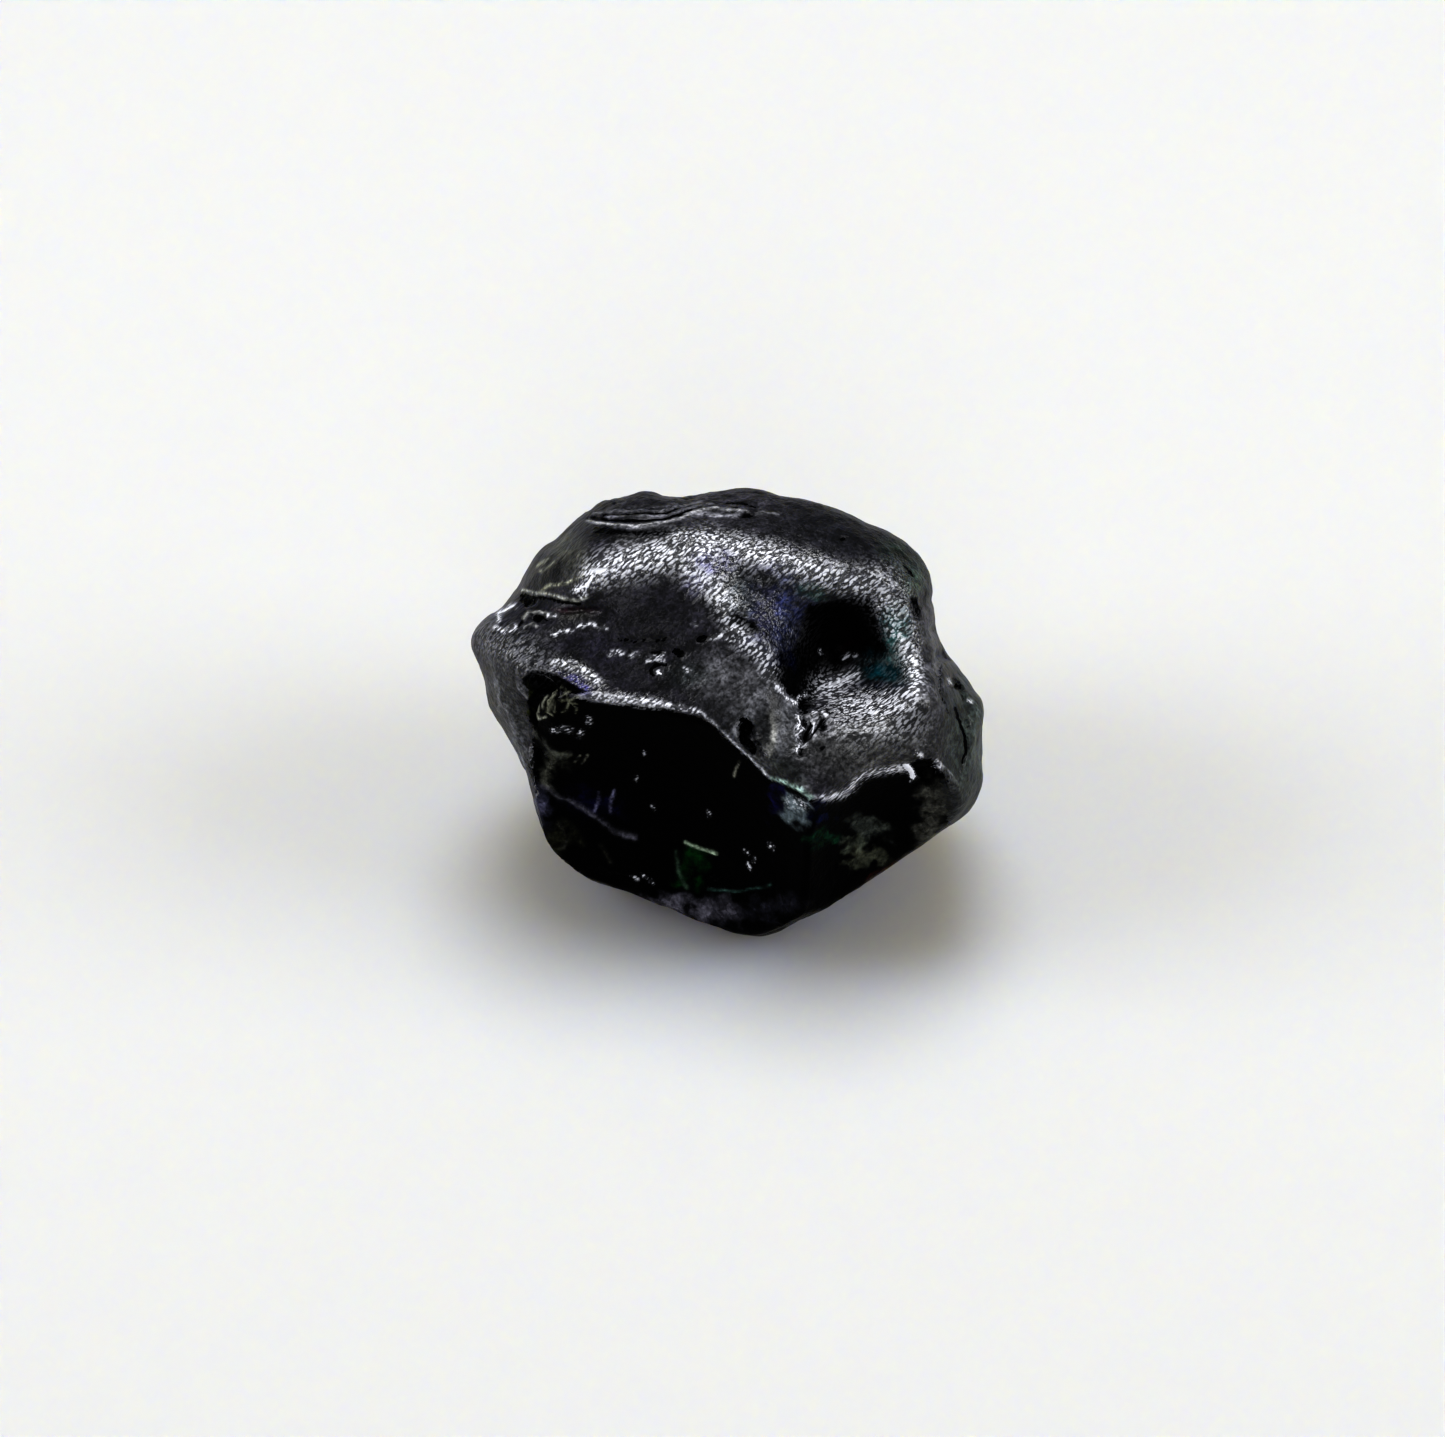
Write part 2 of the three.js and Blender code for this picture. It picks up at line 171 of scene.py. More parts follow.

# Cracks and slits: half-width, depth, how black (painted shade in the crack), path.
CRACKS = (
    ("slit", 0.07, 0.1, 1.0, ((-3.38, 4.58), (-3.15, 4.58), (-2.92, 4.56))),
    ("slit tail", 0.035, 0.06, 1.0,
     ((-2.95, 4.53), (-2.5, 4.49), (-2.1, 4.48), (-1.5, 4.54), (-1.2, 4.63), (-0.9, 4.76))),
    ("slit high", 0.025, 0.04, 0.9,
     ((-3.0, 4.67), (-2.1, 4.66), (-1.5, 4.69), (-1.2, 4.77), (-0.9, 4.88))),
    ("slit top", 0.02, 0.02, 0.7, ((-2.7, 4.81), (-2.1, 4.79), (-1.5, 4.81), (-1.1, 4.9))),
    ("slit right", 0.03, 0.04, 0.8, ((-0.85, 4.62), (-0.5, 4.7), (-0.1, 4.66), (0.25, 4.6))),
    ("top wrinkle", 0.035, 0.03, 0.85, ((-0.1, 4.92), (0.25, 4.88), (0.6, 4.8))),
    ("shoulder crack", 0.06, 0.05, 0.8, ((-4.85, 2.72), (-4.4, 2.68), (-3.9, 2.6), (-3.5, 2.55))),
    ("tip groove", 0.05, 0.04, 0.9, ((-5.1, 1.85), (-4.9, 2.1), (-4.75, 2.35))),
    ("tip groove right", 0.035, 0.03, 0.8, ((-4.65, 2.3), (-4.3, 2.15), (-4.1, 2.2))),
    ("valley crack", 0.08, 0.03, 0.55, ((-2.6, 1.72), (-2.2, 1.66), (-1.7, 1.68), (-1.4, 1.74))),
    ("crater ring", 0.07, 0.05, 0.75, ((-1.78, 0.85), (-1.86, 1.0), (-1.72, 1.13), (-1.5, 1.12))),
    ("crevice crack", 0.05, 0.16, 1.0, ((1.95, -0.12), (1.88, -0.35), (1.76, -0.6), (1.64, -0.98))),
    ("tongue split", 0.03, 0.05, 0.95, ((1.62, 0.0), (1.64, -0.2), (1.56, -0.4))),
    # under ledge: no depth, only painted shade under the ledge.
    ("under ledge", 0.13, 0.0, 0.75, ((-3.1, 4.25), (-2.3, 4.2), (-1.5, 4.22))),
    # hollow foot: no depth, only painted shade at the foot of the hollow.
    ("hollow foot", 0.3, 0.0, 0.8, ((3.35, 1.0), (3.85, 0.95))),
    ("knob crack", 0.045, 0.06, 0.9,
     ((5.3, 0.1), (5.42, -0.35), (5.5, -0.6), (5.55, -0.95), (5.48, -1.2))),
    ("knob groove", 0.09, 0.1, 0.5, ((4.95, 1.3), (4.92, 0.9), (4.98, 0.4), (5.1, 0.0))),
    ("knob groove right", 0.06, 0.05, 0.6, ((5.15, 0.85), (5.4, 0.6), (5.5, 0.3))),
    ("rim notch", 0.1, 0.08, 0.0, ((4.75, 2.25), (4.5, 2.2))),
    ("rim notch low", 0.1, 0.08, 0.0, ((5.0, 1.7), (4.75, 1.6))),
)

# Colours of the skin, among them painted sheen on faces turned to the camera and painted shade under the
# ledge: colour, place, half-widths, turn, strength.
STAINS_SHEEN_AND_SHADE = (
    ("top slope", "#2c2b30", (-0.2, 4.75), (2.6, 0.5), 0, 0.8),
    ("top slope right", "#151519", (2.4, 4.2), (1.4, 0.6), -25, 0.8),
    ("corner green", "#1c2620", (3.9, 3.7), (0.45, 0.3), -40, 0.8),
    # under ledge: painted shade under the ledge.
    ("under ledge", "#060508", (-2.3, 4.2), (1.5, 0.2), 3, 1.0),
    ("shoulder", "#3c3d38", (-3.8, 3.75), (0.4, 0.55), 30, 0.8),
    ("shoulder low", "#1d1d1c", (-4.4, 3.2), (0.5, 0.35), 30, 0.8),
    # tongue, tongue tip, tongue head and cheek: painted sheen on the smooth faces turned to the camera.
    ("tongue", "#414245", (0.9, -0.5), (1.0, 1.1), -20, 0.9),
    ("tongue tip", "#56575b", (1.3, -0.75), (0.35, 0.35), 0, 0.8),
    ("tongue head", "#4a4a4d", (0.1, 0.7), (1.0, 0.7), -20, 0.8),
    ("cheek", "#3f3f3f", (3.4, -0.8), (1.6, 0.7), 8, 0.9),
    ("cheek dark", "#222221", (3.7, -0.75), (0.5, 0.25), 10, 0.7),
    ("rim grey", "#38383b", (4.75, 0.9), (0.35, 1.6), 0, 0.9),
    ("rim top", "#35363a", (3.9, 3.0), (0.5, 0.5), 0, 0.8),
    ("knob", "#2e3532", (5.6, -0.7), (0.5, 1.6), 0, 0.9),
    ("knob foot", "#1d1f1e", (4.9, -2.3), (0.8, 0.8), 25, 0.9),
    ("left tip", "#1e1e22", (-5.1, 1.4), (0.8, 0.5), -20, 0.8),
    ("red slit", "#2b0f16", (-3.5, 2.4), (0.5, 0.07), 0, 0.9),
    ("olive slit", "#1f1e12", (-3.4, 2.27), (0.5, 0.1), 0, 0.9),
    ("valley", "#1e1d23", (-2.1, 2.3), (1.4, 0.8), 0, 0.9),
    ("valley violet", "#1a1824", (-3.0, 1.5), (0.8, 0.3), -5, 0.6),
    ("valley green", "#1a2220", (-1.0, 0.9), (0.5, 0.3), 0, 0.5),
    ("blue slope", "#0b1230", (1.1, 2.4), (0.7, 0.95), -15, 0.95),
    ("teal slope", "#0e1c22", (0.35, 2.75), (0.4, 0.5), 0, 0.8),
    ("violet slope", "#141128", (0.75, 2.6), (0.3, 0.9), 0, 0.7),
    ("slope patch", "#030408", (0.2, 3.3), (0.3, 0.13), -25, 1.0),
    ("slope patch low", "#020306", (0.8, 3.08), (0.4, 0.13), -15, 1.0),
    ("slope patch left", "#04050a", (0.3, 2.55), (0.25, 0.2), 0, 0.7),
    ("teal crest", "#1a3430", (1.95, 2.85), (0.35, 0.15), -10, 0.8),
    ("navy deep", "#060a22", (1.2, 1.3), (0.4, 0.3), 0, 1.0),
    ("violet crest", "#2c2a50", (-0.45, 3.55), (0.5, 0.3), 0, 0.8),
    ("violet rib", "#2c2a4a", (-0.75, 3.1), (0.3, 0.3), 0, 0.6),
    ("rim foot dark", "#141413", (3.9, -0.2), (0.7, 0.3), 0, 0.7),
    ("teal foot", "#062021", (3.6, 1.0), (0.6, 0.4), -5, 1.0),
    ("navy foot", "#0a0e1c", (3.4, 0.6), (0.6, 0.15), 0, 0.9),
    ("teal wall", "#234544", (3.9, 1.9), (0.32, 0.55), 0, 0.85),
    ("violet lip", "#2e2c4c", (-3.6, 0.7), (0.45, 0.12), -35, 0.9),
    ("left flank", "#3a3b3b", (-5.2, 0.2), (0.35, 1.0), 20, 0.8),
    ("keyhole wall", "#1c1d1f", (0.76, -0.5), (0.18, 0.55), 0, 0.9),
    ("cusp skin", "#202423", (1.35, -1.35), (0.5, 0.18), -38, 0.8),
    ("green knob", "#2c3a30", (4.3, 3.1), (0.3, 0.4), 0, 0.6),
)

# Colours that show inside the broken face, some of them painted reflections: colour, place, half-widths,
# turn, strength.
BREAK_COLOURS_AND_REFLECTIONS = (
    ("navy hollow", "#05081c", (1.15, 1.25), (0.35, 0.25), 0, 1.0),
    ("teal hollow", "#0a2c32", (3.6, 0.95), (0.6, 0.4), -5, 1.0),
    ("red hollow", "#150408", (2.9, 1.65), (0.3, 0.1), 0, 1.0),
    ("green cavity", "#54583a", (-4.82, 0.3), (0.14, 0.35), 0, 0.9),
    ("violet flank", "#40404e", (-4.35, -2.2), (0.2, 0.5), 10, 0.9),
    ("olive flank", "#34352b", (-3.8, -2.9), (0.35, 0.3), 0, 0.8),
    ("flank wisps", "#3c3d38", (-4.0, -1.15), (0.4, 0.25), -10, 0.7),
    ("flank knot", "#50524a", (-3.85, -1.0), (0.2, 0.14), 0, 0.9),
    ("violet break", "#100e28", (-3.2, -2.15), (0.7, 0.35), -20, 0.9),
    # green facet: painted reflection, a green glint from inside the stone.
    ("green facet", "#123a1c", (-0.85, -3.6), (0.35, 0.42), 0, 1.0),
    # strip: painted reflection of the sheet below.
    ("strip", "#49484f", (-0.8, -4.6), (1.2, 0.3), -8, 0.9),
    ("strip right", "#26262d", (0.9, -4.6), (0.8, 0.25), 15, 0.7),
    # blue facet: painted reflection, a pale blue glint on a small facet.
    ("blue facet", "#565e62", (1.5, -2.25), (0.4, 0.3), -15, 1.0),
    ("violet facet", "#14122e", (1.1, -2.05), (0.2, 0.35), 0, 1.0),
    ("navy facet", "#0a0f26", (2.1, -2.3), (0.25, 0.25), 0, 0.9),
    ("teal break", "#102a1e", (2.15, -2.9), (0.45, 0.2), 0, 1.0),
    # grey and olive break rows: painted reflections, smudges of light on the right break.
    ("grey break", "#4a4e4a", (3.3, -2.65), (0.52, 0.24), -25, 0.8),
    ("grey break left", "#42463f", (2.85, -3.0), (0.3, 0.16), 20, 0.75),
    ("olive break", "#45473e", (3.25, -3.3), (0.45, 0.16), -20, 0.7),
    ("olive break low", "#3c3e36", (2.9, -3.55), (0.3, 0.12), 15, 0.6),
    ("blot", "#030304", (2.8, -2.86), (0.2, 0.17), 0, 1.0),
    ("smooth break", "#484844", (4.75, -2.3), (0.35, 0.9), -12, 0.9),
    ("brown edge", "#3a1f18", (3.6, -3.75), (0.45, 0.09), 35, 0.9),
)

# Pale flecks, mostly painted highlights and glints where the light catches crests, grains and arrises,
# partly where the skin is bruised or frosted: half-width, lift, share of flecks, path.
FROST_AND_GLINTS = (
    # crest rows: painted highlight band where the crest faces the lamp; crest glow is a painted sheen round
    # it.
    ("crest corner", 0.22, 0.02, 0.97, ((-3.25, 3.3), (-2.9, 3.35))),
    ("crest tail", 0.085, 0.02, 1.05, ((-3.2, 3.2), (-3.35, 2.95), (-3.6, 2.87))),
    ("crest tail low", 0.07, 0.02, 1.0, ((-3.35, 2.95), (-3.45, 2.74))),
    ("crest left", 0.37, 0.0, 0.86, ((-3.0, 3.35), (-2.0, 3.6), (-1.0, 3.75), (-0.5, 3.9))),
    ("crest top", 0.16, 0.0, 0.8, ((-1.2, 4.1), (-0.4, 4.1), (0.2, 3.85))),
    ("crest right", 0.28, 0.0, 0.84, ((0.2, 3.85), (1.0, 3.65), (2.0, 3.3), (3.1, 2.95))),
    ("crest glow", 0.4, 0.0, 0.3, ((0.2, 3.7), (1.0, 3.5), (2.0, 3.15))),
    ("rib", 0.27, 0.0, 0.76, ((-0.9, 3.3), (-0.4, 3.0), (-0.1, 2.5))),
    ("rib low", 0.22, 0.0, 0.7, ((-0.05, 2.2), (0.3, 1.7), (0.8, 1.35), (0.9, 1.0))),
    ("blue slope", 0.7, 0.0, 0.05, ((0.4, 3.2), (1.2, 2.5), (1.4, 1.9))),
    ("rim", 0.35, 0.0, 0.5, ((3.3, 3.1), (3.7, 2.6), (4.0, 2.0))),
    ("rim wall", 0.18, 0.0, 0.8, ((3.8, 2.0), (4.15, 1.5), (4.35, 0.9), (4.35, 0.5))),
    ("rim foot", 0.12, 0.02, 0.84, ((4.1, 0.45), (4.3, 0.6))),
    ("hollow lip", 0.34, 0.0, 0.7, ((2.3, 0.55), (2.8, 0.2), (3.4, 0.05), (4.1, 0.3))),
    ("lip speckle", 0.4, 0.0, 0.32, ((2.6, -0.2), (3.3, -0.35), (4.2, -0.2))),
    ("hollow foot", 0.3, 0.0, 0.05, ((3.2, 1.1), (3.9, 0.9))),
    ("fur", 0.18, 0.0, 0.95, ((2.3, 0.6), (2.9, 0.85))),
    ("left tip", 0.45, 0.0, 0.13, ((-5.6, 1.7), (-5.0, 1.5), (-4.4, 1.1))),
    # lip and arris rows: painted highlights along the left lip and the arris.
    ("lip", 0.09, 0.03, 0.85, ((-4.1, 1.15), (-3.7, 1.1), (-3.4, 0.95), (-3.1, 0.75))),
    ("arris grain", 0.07, 0.02, 0.9, ((-3.2, 0.36), (-2.4, 0.3), (-1.9, 0.27), (-1.5, 0.18))),
    ("arris smooth", 0.06, 0.02, 0.85, ((-1.7, 0.2), (-1.2, 0.12), (-0.7, 0.02))),
    ("tip hook", 0.06, 0.03, 1.0, ((-5.37, 2.13), (-5.41, 2.32), (-5.22, 2.44), (-5.02, 2.5))),
    ("tip edge", 0.06, 0.02, 0.9, ((-5.45, 1.95), (-5.2, 1.9), (-5.05, 2.0))),
    # glint rows: painted glints.
    ("glint a", 0.045, 0.01, 1.0, ((-4.25, 2.25), (-4.1, 2.24))),
    ("glint b", 0.045, 0.01, 1.0, ((-4.16, 1.81), (-4.05, 1.83))),
    ("glint c", 0.045, 0.01, 1.0, ((-3.95, 1.91), (-3.65, 1.9))),
    ("glint d", 0.045, 0.01, 1.0, ((-3.55, 1.98), (-3.35, 2.08), (-3.15, 2.05))),
    ("glint e", 0.045, 0.01, 1.0, ((-3.02, 1.95), (-2.9, 1.97))),
    ("glint f", 0.05, 0.01, 0.9, ((-2.8, 1.38), (-2.65, 1.43), (-2.5, 1.36))),
    ("glint g", 0.04, 0.01, 0.8, ((-2.3, 1.3), (-2.15, 1.38))),
    ("pocket edge", 0.035, 0.02, 0.9, ((-1.9, 1.33), (-1.72, 1.31), (-1.55, 1.36))),
    ("crater", 0.06, 0.02, 1.1, ((-1.68, 0.95), (-1.6, 0.91))),
    ("crater brim", 0.035, 0.02, 0.9, ((-1.95, 1.2), (-1.75, 1.24), (-1.55, 1.21))),
    ("valley flake", 0.04, 0.01, 0.8, ((-1.05, 1.05), (-0.9, 0.93))),
    ("pit dot", 0.04, 0.02, 0.9, ((-0.85, 2.07), (-0.8, 2.07))),
    ("rib chip", 0.05, 0.02, 0.9, ((-0.4, 1.72), (-0.2, 1.8), (0.0, 1.7))),
    ("chip a", 0.07, 0.02, 0.8, ((1.08, 0.62), (1.18, 0.56))),
    ("chip b", 0.04, 0.03, 1.0, ((1.2, 0.5), (1.4, 0.3), (1.55, 0.22))),
    ("chip c", 0.035, 0.03, 1.0, ((1.5, 0.22), (1.62, 0.32), (1.74, 0.42))),
    ("chip d", 0.05, 0.03, 1.05, ((1.58, -0.08), (1.66, -0.22), (1.6, -0.38))),
    ("chip e", 0.05, 0.03, 1.05, ((1.72, -0.38), (1.6, -0.52), (1.66, -0.72), (1.57, -0.9))),
    ("sliver", 0.05, 0.05, 1.1, ((1.99, -0.2), (1.93, -0.48))),
    ("crevice brim", 0.035, 0.02, 0.95, ((1.98, 0.0), (2.15, 0.02), (2.3, -0.05))),
    # rice grain: painted highlight on a grain that faces down and gets little light.
    ("rice grain", 0.05, 0.08, 3.0, ((4.13, -1.24), (4.26, -1.42), (4.32, -1.56))),
    # right arris: painted highlight along the arris.
    ("right arris", 0.09, 0.02, 0.92,
     ((2.2, -2.0), (2.6, -1.93), (2.83, -1.8), (3.1, -1.49), (3.37, -1.41), (3.71, -1.37),
      (4.05, -1.3))),
    ("pit brim", 0.05, 0.02, 1.0, ((4.35, -0.95), (4.5, -1.02))),
    ("pit brim right", 0.04, 0.02, 0.9, ((4.82, -1.15), (4.92, -1.35))),
    ("knob dot", 0.05, 0.02, 0.9, ((5.18, 0.78), (5.2, 0.72))),
    ("knob dot low", 0.05, 0.02, 0.9, ((5.62, 0.3), (5.66, 0.28))),
    ("hollow glint", 0.05, 0.02, 0.8, ((2.65, 1.25), (2.8, 1.35), (2.95, 1.32))),
    ("hollow speck", 0.035, 0.0, 0.9, ((2.13, 1.42), (2.16, 1.36))),
    ("speck a", 0.05, 0.02, 1.0, ((-3.3, -0.15), (-3.3, -0.27))),
    ("speck b", 0.05, 0.02, 1.0, ((-3.48, -0.45), (-3.5, -0.55))),
    ("fibre e", 0.05, 0.02, 0.84, ((-4.15, -0.42), (-3.9, -0.37), (-3.7, -0.43))),
    ("low fleck a", 0.03, 0.01, 0.8, ((-2.3, -3.85), (-2.15, -3.9))),
    ("low fleck b", 0.03, 0.01, 0.9, ((-2.05, -3.8), (-1.95, -3.86))),
    ("low fleck c", 0.03, 0.01, 0.9, ((-1.85, -3.93), (-1.8, -3.98))),
    ("right fleck a", 0.03, 0.01, 0.7, ((0.35, -3.25), (0.42, -3.3))),
    ("right fleck b", 0.03, 0.01, 0.7, ((0.55, -3.4), (0.56, -3.5))),
    ("right fleck c", 0.03, 0.01, 0.75, ((0.42, -3.55), (0.5, -3.7))),
    ("facet chips", 0.12, 0.01, 0.5, ((1.45, -2.1), (1.7, -2.15))),
    ("facet chip", 0.06, 0.02, 0.9, ((1.6, -2.2), (1.7, -2.17))),
    ("fleck a", 0.035, 0.01, 0.75, ((-1.8, -2.18), (-1.76, -2.24))),
    ("fleck b", 0.03, 0.01, 0.6, ((-2.0, -0.9), (-1.99, -0.98))),
    ("fleck c", 0.035, 0.01, 0.7, ((-0.5, -2.32), (-0.5, -2.4))),
    ("fleck d", 0.03, 0.01, 0.55, ((-2.2, -1.5), (-2.18, -1.6))),
    ("fleck e", 0.04, 0.01, 0.7, ((0.9, -3.1), (1.0, -3.2))),
)

# Smooth lines, a few of them painted highlights along lit edges: colour, half-width, lift, strength, path.
STREAKS = (
    ("ledge", "#98989b", 0.03, 0.02, 0.85,
     ((-3.4, 4.53), (-3.1, 4.44), (-2.72, 4.38), (-2.1, 4.37), (-1.47, 4.45), (-1.16, 4.55),
      (-0.85, 4.7), (-0.38, 4.8), (0.1, 4.74), (0.4, 4.68))),
    ("ledge low", "#55555a", 0.03, 0.01, 0.7, ((-2.7, 4.31), (-2.3, 4.3), (-1.8, 4.35), (-1.3, 4.36))),
    ("slit lip", "#74747a", 0.022, 0.02, 0.8,
     ((-2.9, 4.61), (-2.1, 4.59), (-1.5, 4.62), (-1.2, 4.7), (-0.9, 4.81), (-0.4, 4.9))),
    ("rib high", "#5c5c60", 0.035, 0.01, 0.8,
     ((-3.2, 4.71), (-2.7, 4.76), (-2.1, 4.74), (-1.5, 4.76), (-1.2, 4.84), (-0.7, 4.95))),
    ("rib top", "#4c4c50", 0.03, 0.01, 0.7, ((-2.9, 4.84), (-2.2, 4.84), (-1.6, 4.86), (-1.1, 4.95))),
    ("rib right", "#7c7c82", 0.035, 0.01, 0.8,
     ((-0.9, 4.64), (-0.6, 4.67), (-0.2, 4.64), (0.1, 4.6), (0.3, 4.66))),
    ("rib far", "#6a6a6e", 0.035, 0.01, 0.8, ((0.6, 4.62), (0.85, 4.68), (1.15, 4.66))),
    ("top band", "#121115", 0.06, 0.0, 0.8,
     ((-3.0, 4.88), (-2.3, 4.86), (-1.9, 4.84), (-1.3, 5.0), (-0.6, 5.04))),
    ("shoulder line", "#77786c", 0.035, 0.02, 0.8,
     ((-4.44, 2.83), (-4.2, 2.97), (-3.8, 3.06), (-3.45, 3.2))),
    ("shoulder line low", "#8c8d88", 0.035, 0.02, 0.8,
     ((-4.83, 2.84), (-4.44, 2.79), (-3.97, 2.7), (-3.58, 2.63), (-3.34, 2.7))),
    ("shoulder hatch a", "#6c6d62", 0.03, 0.01, 0.7, ((-4.5, 3.42), (-4.25, 3.6))),
    ("shoulder hatch b", "#6c6d62", 0.03, 0.01, 0.7, ((-4.4, 3.3), (-4.1, 3.5))),
    ("tip arc", "#90908f", 0.03, 0.02, 0.8, ((-4.85, 2.2), (-4.7, 2.36), (-4.45, 2.36), (-4.25, 2.3))),
    ("tip arc low", "#7c7c7c", 0.03, 0.02, 0.8, ((-4.8, 2.0), (-4.6, 2.08), (-4.5, 2.0))),
    ("leaf", "#7d7d7a", 0.07, 0.02, 0.8, ((0.95, 0.0), (1.04, -0.4), (0.95, -0.95))),
    ("leaf shade", "#202122", 0.05, -0.01, 0.8, ((0.83, -0.1), (0.91, -0.4), (0.84, -0.85))),
    ("loop", "#9a9b90", 0.022, 0.03, 0.9,
     ((-4.25, 0.4), (-4.42, 0.2), (-4.52, 0.0), (-4.45, -0.13), (-4.3, -0.1))),
    ("fibre a", "#8c8d80", 0.022, 0.03, 0.9, ((-3.95, 0.62), (-4.15, 0.35), (-4.2, 0.1), (-4.1, 0.0))),
    ("fibre b", "#8c8d80", 0.02, 0.03, 0.9, ((-3.75, 0.5), (-3.95, 0.35), (-4.05, 0.15))),
    ("fibre c", "#848578", 0.02, 0.03, 0.9, ((-3.55, 0.4), (-3.75, 0.25), (-3.85, 0.05), (-3.95, 0.0))),
    ("fibre d", "#6c6d5f", 0.022, 0.03, 0.9, ((-4.3, 0.3), (-4.05, 0.22), (-3.8, 0.3), (-3.6, 0.2))),
    ("fibre g", "#8c8d80", 0.018, 0.02, 0.9, ((-4.1, 0.45), (-4.3, 0.2), (-4.3, 0.02), (-4.15, -0.08))),
    ("fibre h", "#7c7d70", 0.018, 0.02, 0.9, ((-3.85, 0.55), (-3.8, 0.3), (-3.6, 0.1), (-3.62, -0.02))),
    ("hatch a", "#66665f", 0.02, 0.01, 0.8, ((-3.62, -1.2), (-3.5, -1.0))),
    ("hatch b", "#66665f", 0.02, 0.01, 0.8, ((-3.45, -1.2), (-3.32, -0.98))),
    ("wisp a", "#4d4e4a", 0.05, 0.03, 0.8,
     ((-4.57, -0.48), (-4.32, -0.69), (-3.97, -1.04), (-3.75, -0.95))),
    ("wisp b", "#5a5b54", 0.05, 0.03, 0.8,
     ((-4.1, -1.1), (-4.3, -1.4), (-4.25, -1.67), (-3.97, -1.95))),
    ("streak a", "#6e6d82", 0.03, 0.02, 0.8, ((-3.05, -1.85), (-3.08, -2.1), (-3.15, -2.3))),
    ("streak b", "#6e6d82", 0.035, 0.02, 0.8, ((-2.68, -1.83), (-2.78, -2.05), (-2.8, -2.35))),
    ("low ridge", "#58575f", 0.06, 0.05, 0.85,
     ((-4.25, -1.75), (-3.97, -1.95), (-3.62, -2.09), (-3.13, -2.44), (-2.7, -2.79), (-2.21, -2.93))),
    ("low streak", "#34342f", 0.05, 0.02, 0.8, ((-3.0, -3.1), (-2.8, -3.5))),
    ("flank streak", "#3a3a36", 0.05, 0.02, 0.8, ((-4.0, -2.6), (-3.8, -2.9), (-3.9, -3.2))),
    # green edge: painted highlight on the top edge of the green facet.
    ("green edge", "#8d9a8a", 0.035, 0.03, 0.9, ((-1.05, -3.05), (-0.7, -3.18), (-0.3, -3.3))),
    ("green side", "#3c4a40", 0.05, 0.02, 0.8, ((-1.25, -3.25), (-1.2, -3.7), (-1.0, -4.1))),
    ("teal line", "#3c504c", 0.03, 0.02, 0.8,
     ((-0.5, -4.15), (0.0, -4.2), (0.6, -4.12), (0.95, -4.05))),
    # arris line and cusp line: painted highlight along the lit arris.
    ("arris line", "#a4a5ab", 0.026, 0.02, 0.9,
     ((-0.7, 0.02), (-0.5, -0.17), (-0.15, -0.46), (0.2, -0.79), (0.68, -1.24), (0.95, -1.53))),
    ("scratch", "#77776f", 0.03, 0.01, 0.8, ((0.25, -1.15), (0.15, -1.35), (0.1, -1.5))),
    ("cusp line", "#a3b8b2", 0.04, 0.02, 0.9,
     ((1.0, -1.54), (1.3, -1.65), (1.6, -1.76), (1.95, -1.98))),
    ("rim dent", "#2a2b2c", 0.1, -0.08, 0.5, ((4.8, 2.62), (4.55, 2.6))),
    ("rim dent mid", "#2a2b2c", 0.1, -0.1, 0.5, ((5.0, 1.98), (4.8, 1.95))),
    ("rim dent low", "#2a2b2c", 0.1, -0.12, 0.5, ((5.15, 1.4), (4.95, 1.35))),
    ("flank line", "#56575a", 0.06, 0.04, 0.7,
     ((-5.5, 0.9), (-5.3, 0.4), (-5.0, -0.1), (-4.8, -0.7), (-4.65, -1.2))),
)

# Soft boxes over the stone: width and length (m), power (W), middle (m).
LAMPS = (
    ("overhead", (0.12, 0.14), 0.24, (0.0, 0.06, 0.2)),
    ("left card", (0.14, 0.14), 0.26, (-0.2, -0.02, 0.12)),
    ("right card", (0.14, 0.14), 0.26, (0.2, -0.02, 0.12)),
    ("front card", (0.12, 0.12), 0.1, (0.0, -0.22, 0.1)),
)
LAMP_AIM = Vector((0.0, 0.0, 0.004))  # m
ROOM_TINT = (0.9, 0.95, 1.0)
ROOM_LIGHT = 0.16
SHEET_SIDE = 2.0  # m
SENSOR_WIDTH = 36.0  # mm

# ---- how the wear blends ---------------------------------------------------------------

# How far ragged borders wander, from nearly straight to torn, and the pitch of it (mm).
NEARLY, RAGGED, TORN = 0.035, 0.08, 0.25
WANDER_PITCH = 0.45
PATCH_PITCH = 1.6  # of the larger changes in colour and frost (mm)
LUMP_SEED, PATCH_SEED, WANDER_SEEDS = 4.1, 12.5, (3.3, 8.8)

# Ramps, each from none to full: where one thing fades into another.
FACING = (-0.1, 0.12)  # turned to the camera, as the cosine to the face's outward axis
FACE_DEPTH = (-3.2, -2.2)  # how far behind the girdle the face's own details end (mm)
TURNED_AWAY = (-0.1, -0.4)  # where frosted patches cover the back, the same cosine
THINNED = (0.05, -0.25)  # where the mesh is thinned, the same cosine
UNFOLDED = (0.3, 0.0)  # where folds left by the thinning are relaxed away, the same cosine
RIM = 0.6  # half-width of the zone round the outline, the same cosine
WORN = (0.0, 0.015)  # off a break, in shares of the egg's radii
BACK_BREAK = (0.002, 0.012)  # the same, for the breaks behind the girdle
UPWARD = (0.1, 0.4)  # how level the skin is where the arris has its lip
OFF_SHEET = (0.02, 0.5)  # height above the sheet from which the wear moves the surface (mm)
NEAR_SHEET = (1.0, 0.0)  # height below which the surface settles onto the sheet (mm)
LIP_CUSP, LIP_CLEAR = 1.4, (0.6, 1.0)  # the lip stops on both sides of the cusp (mm)
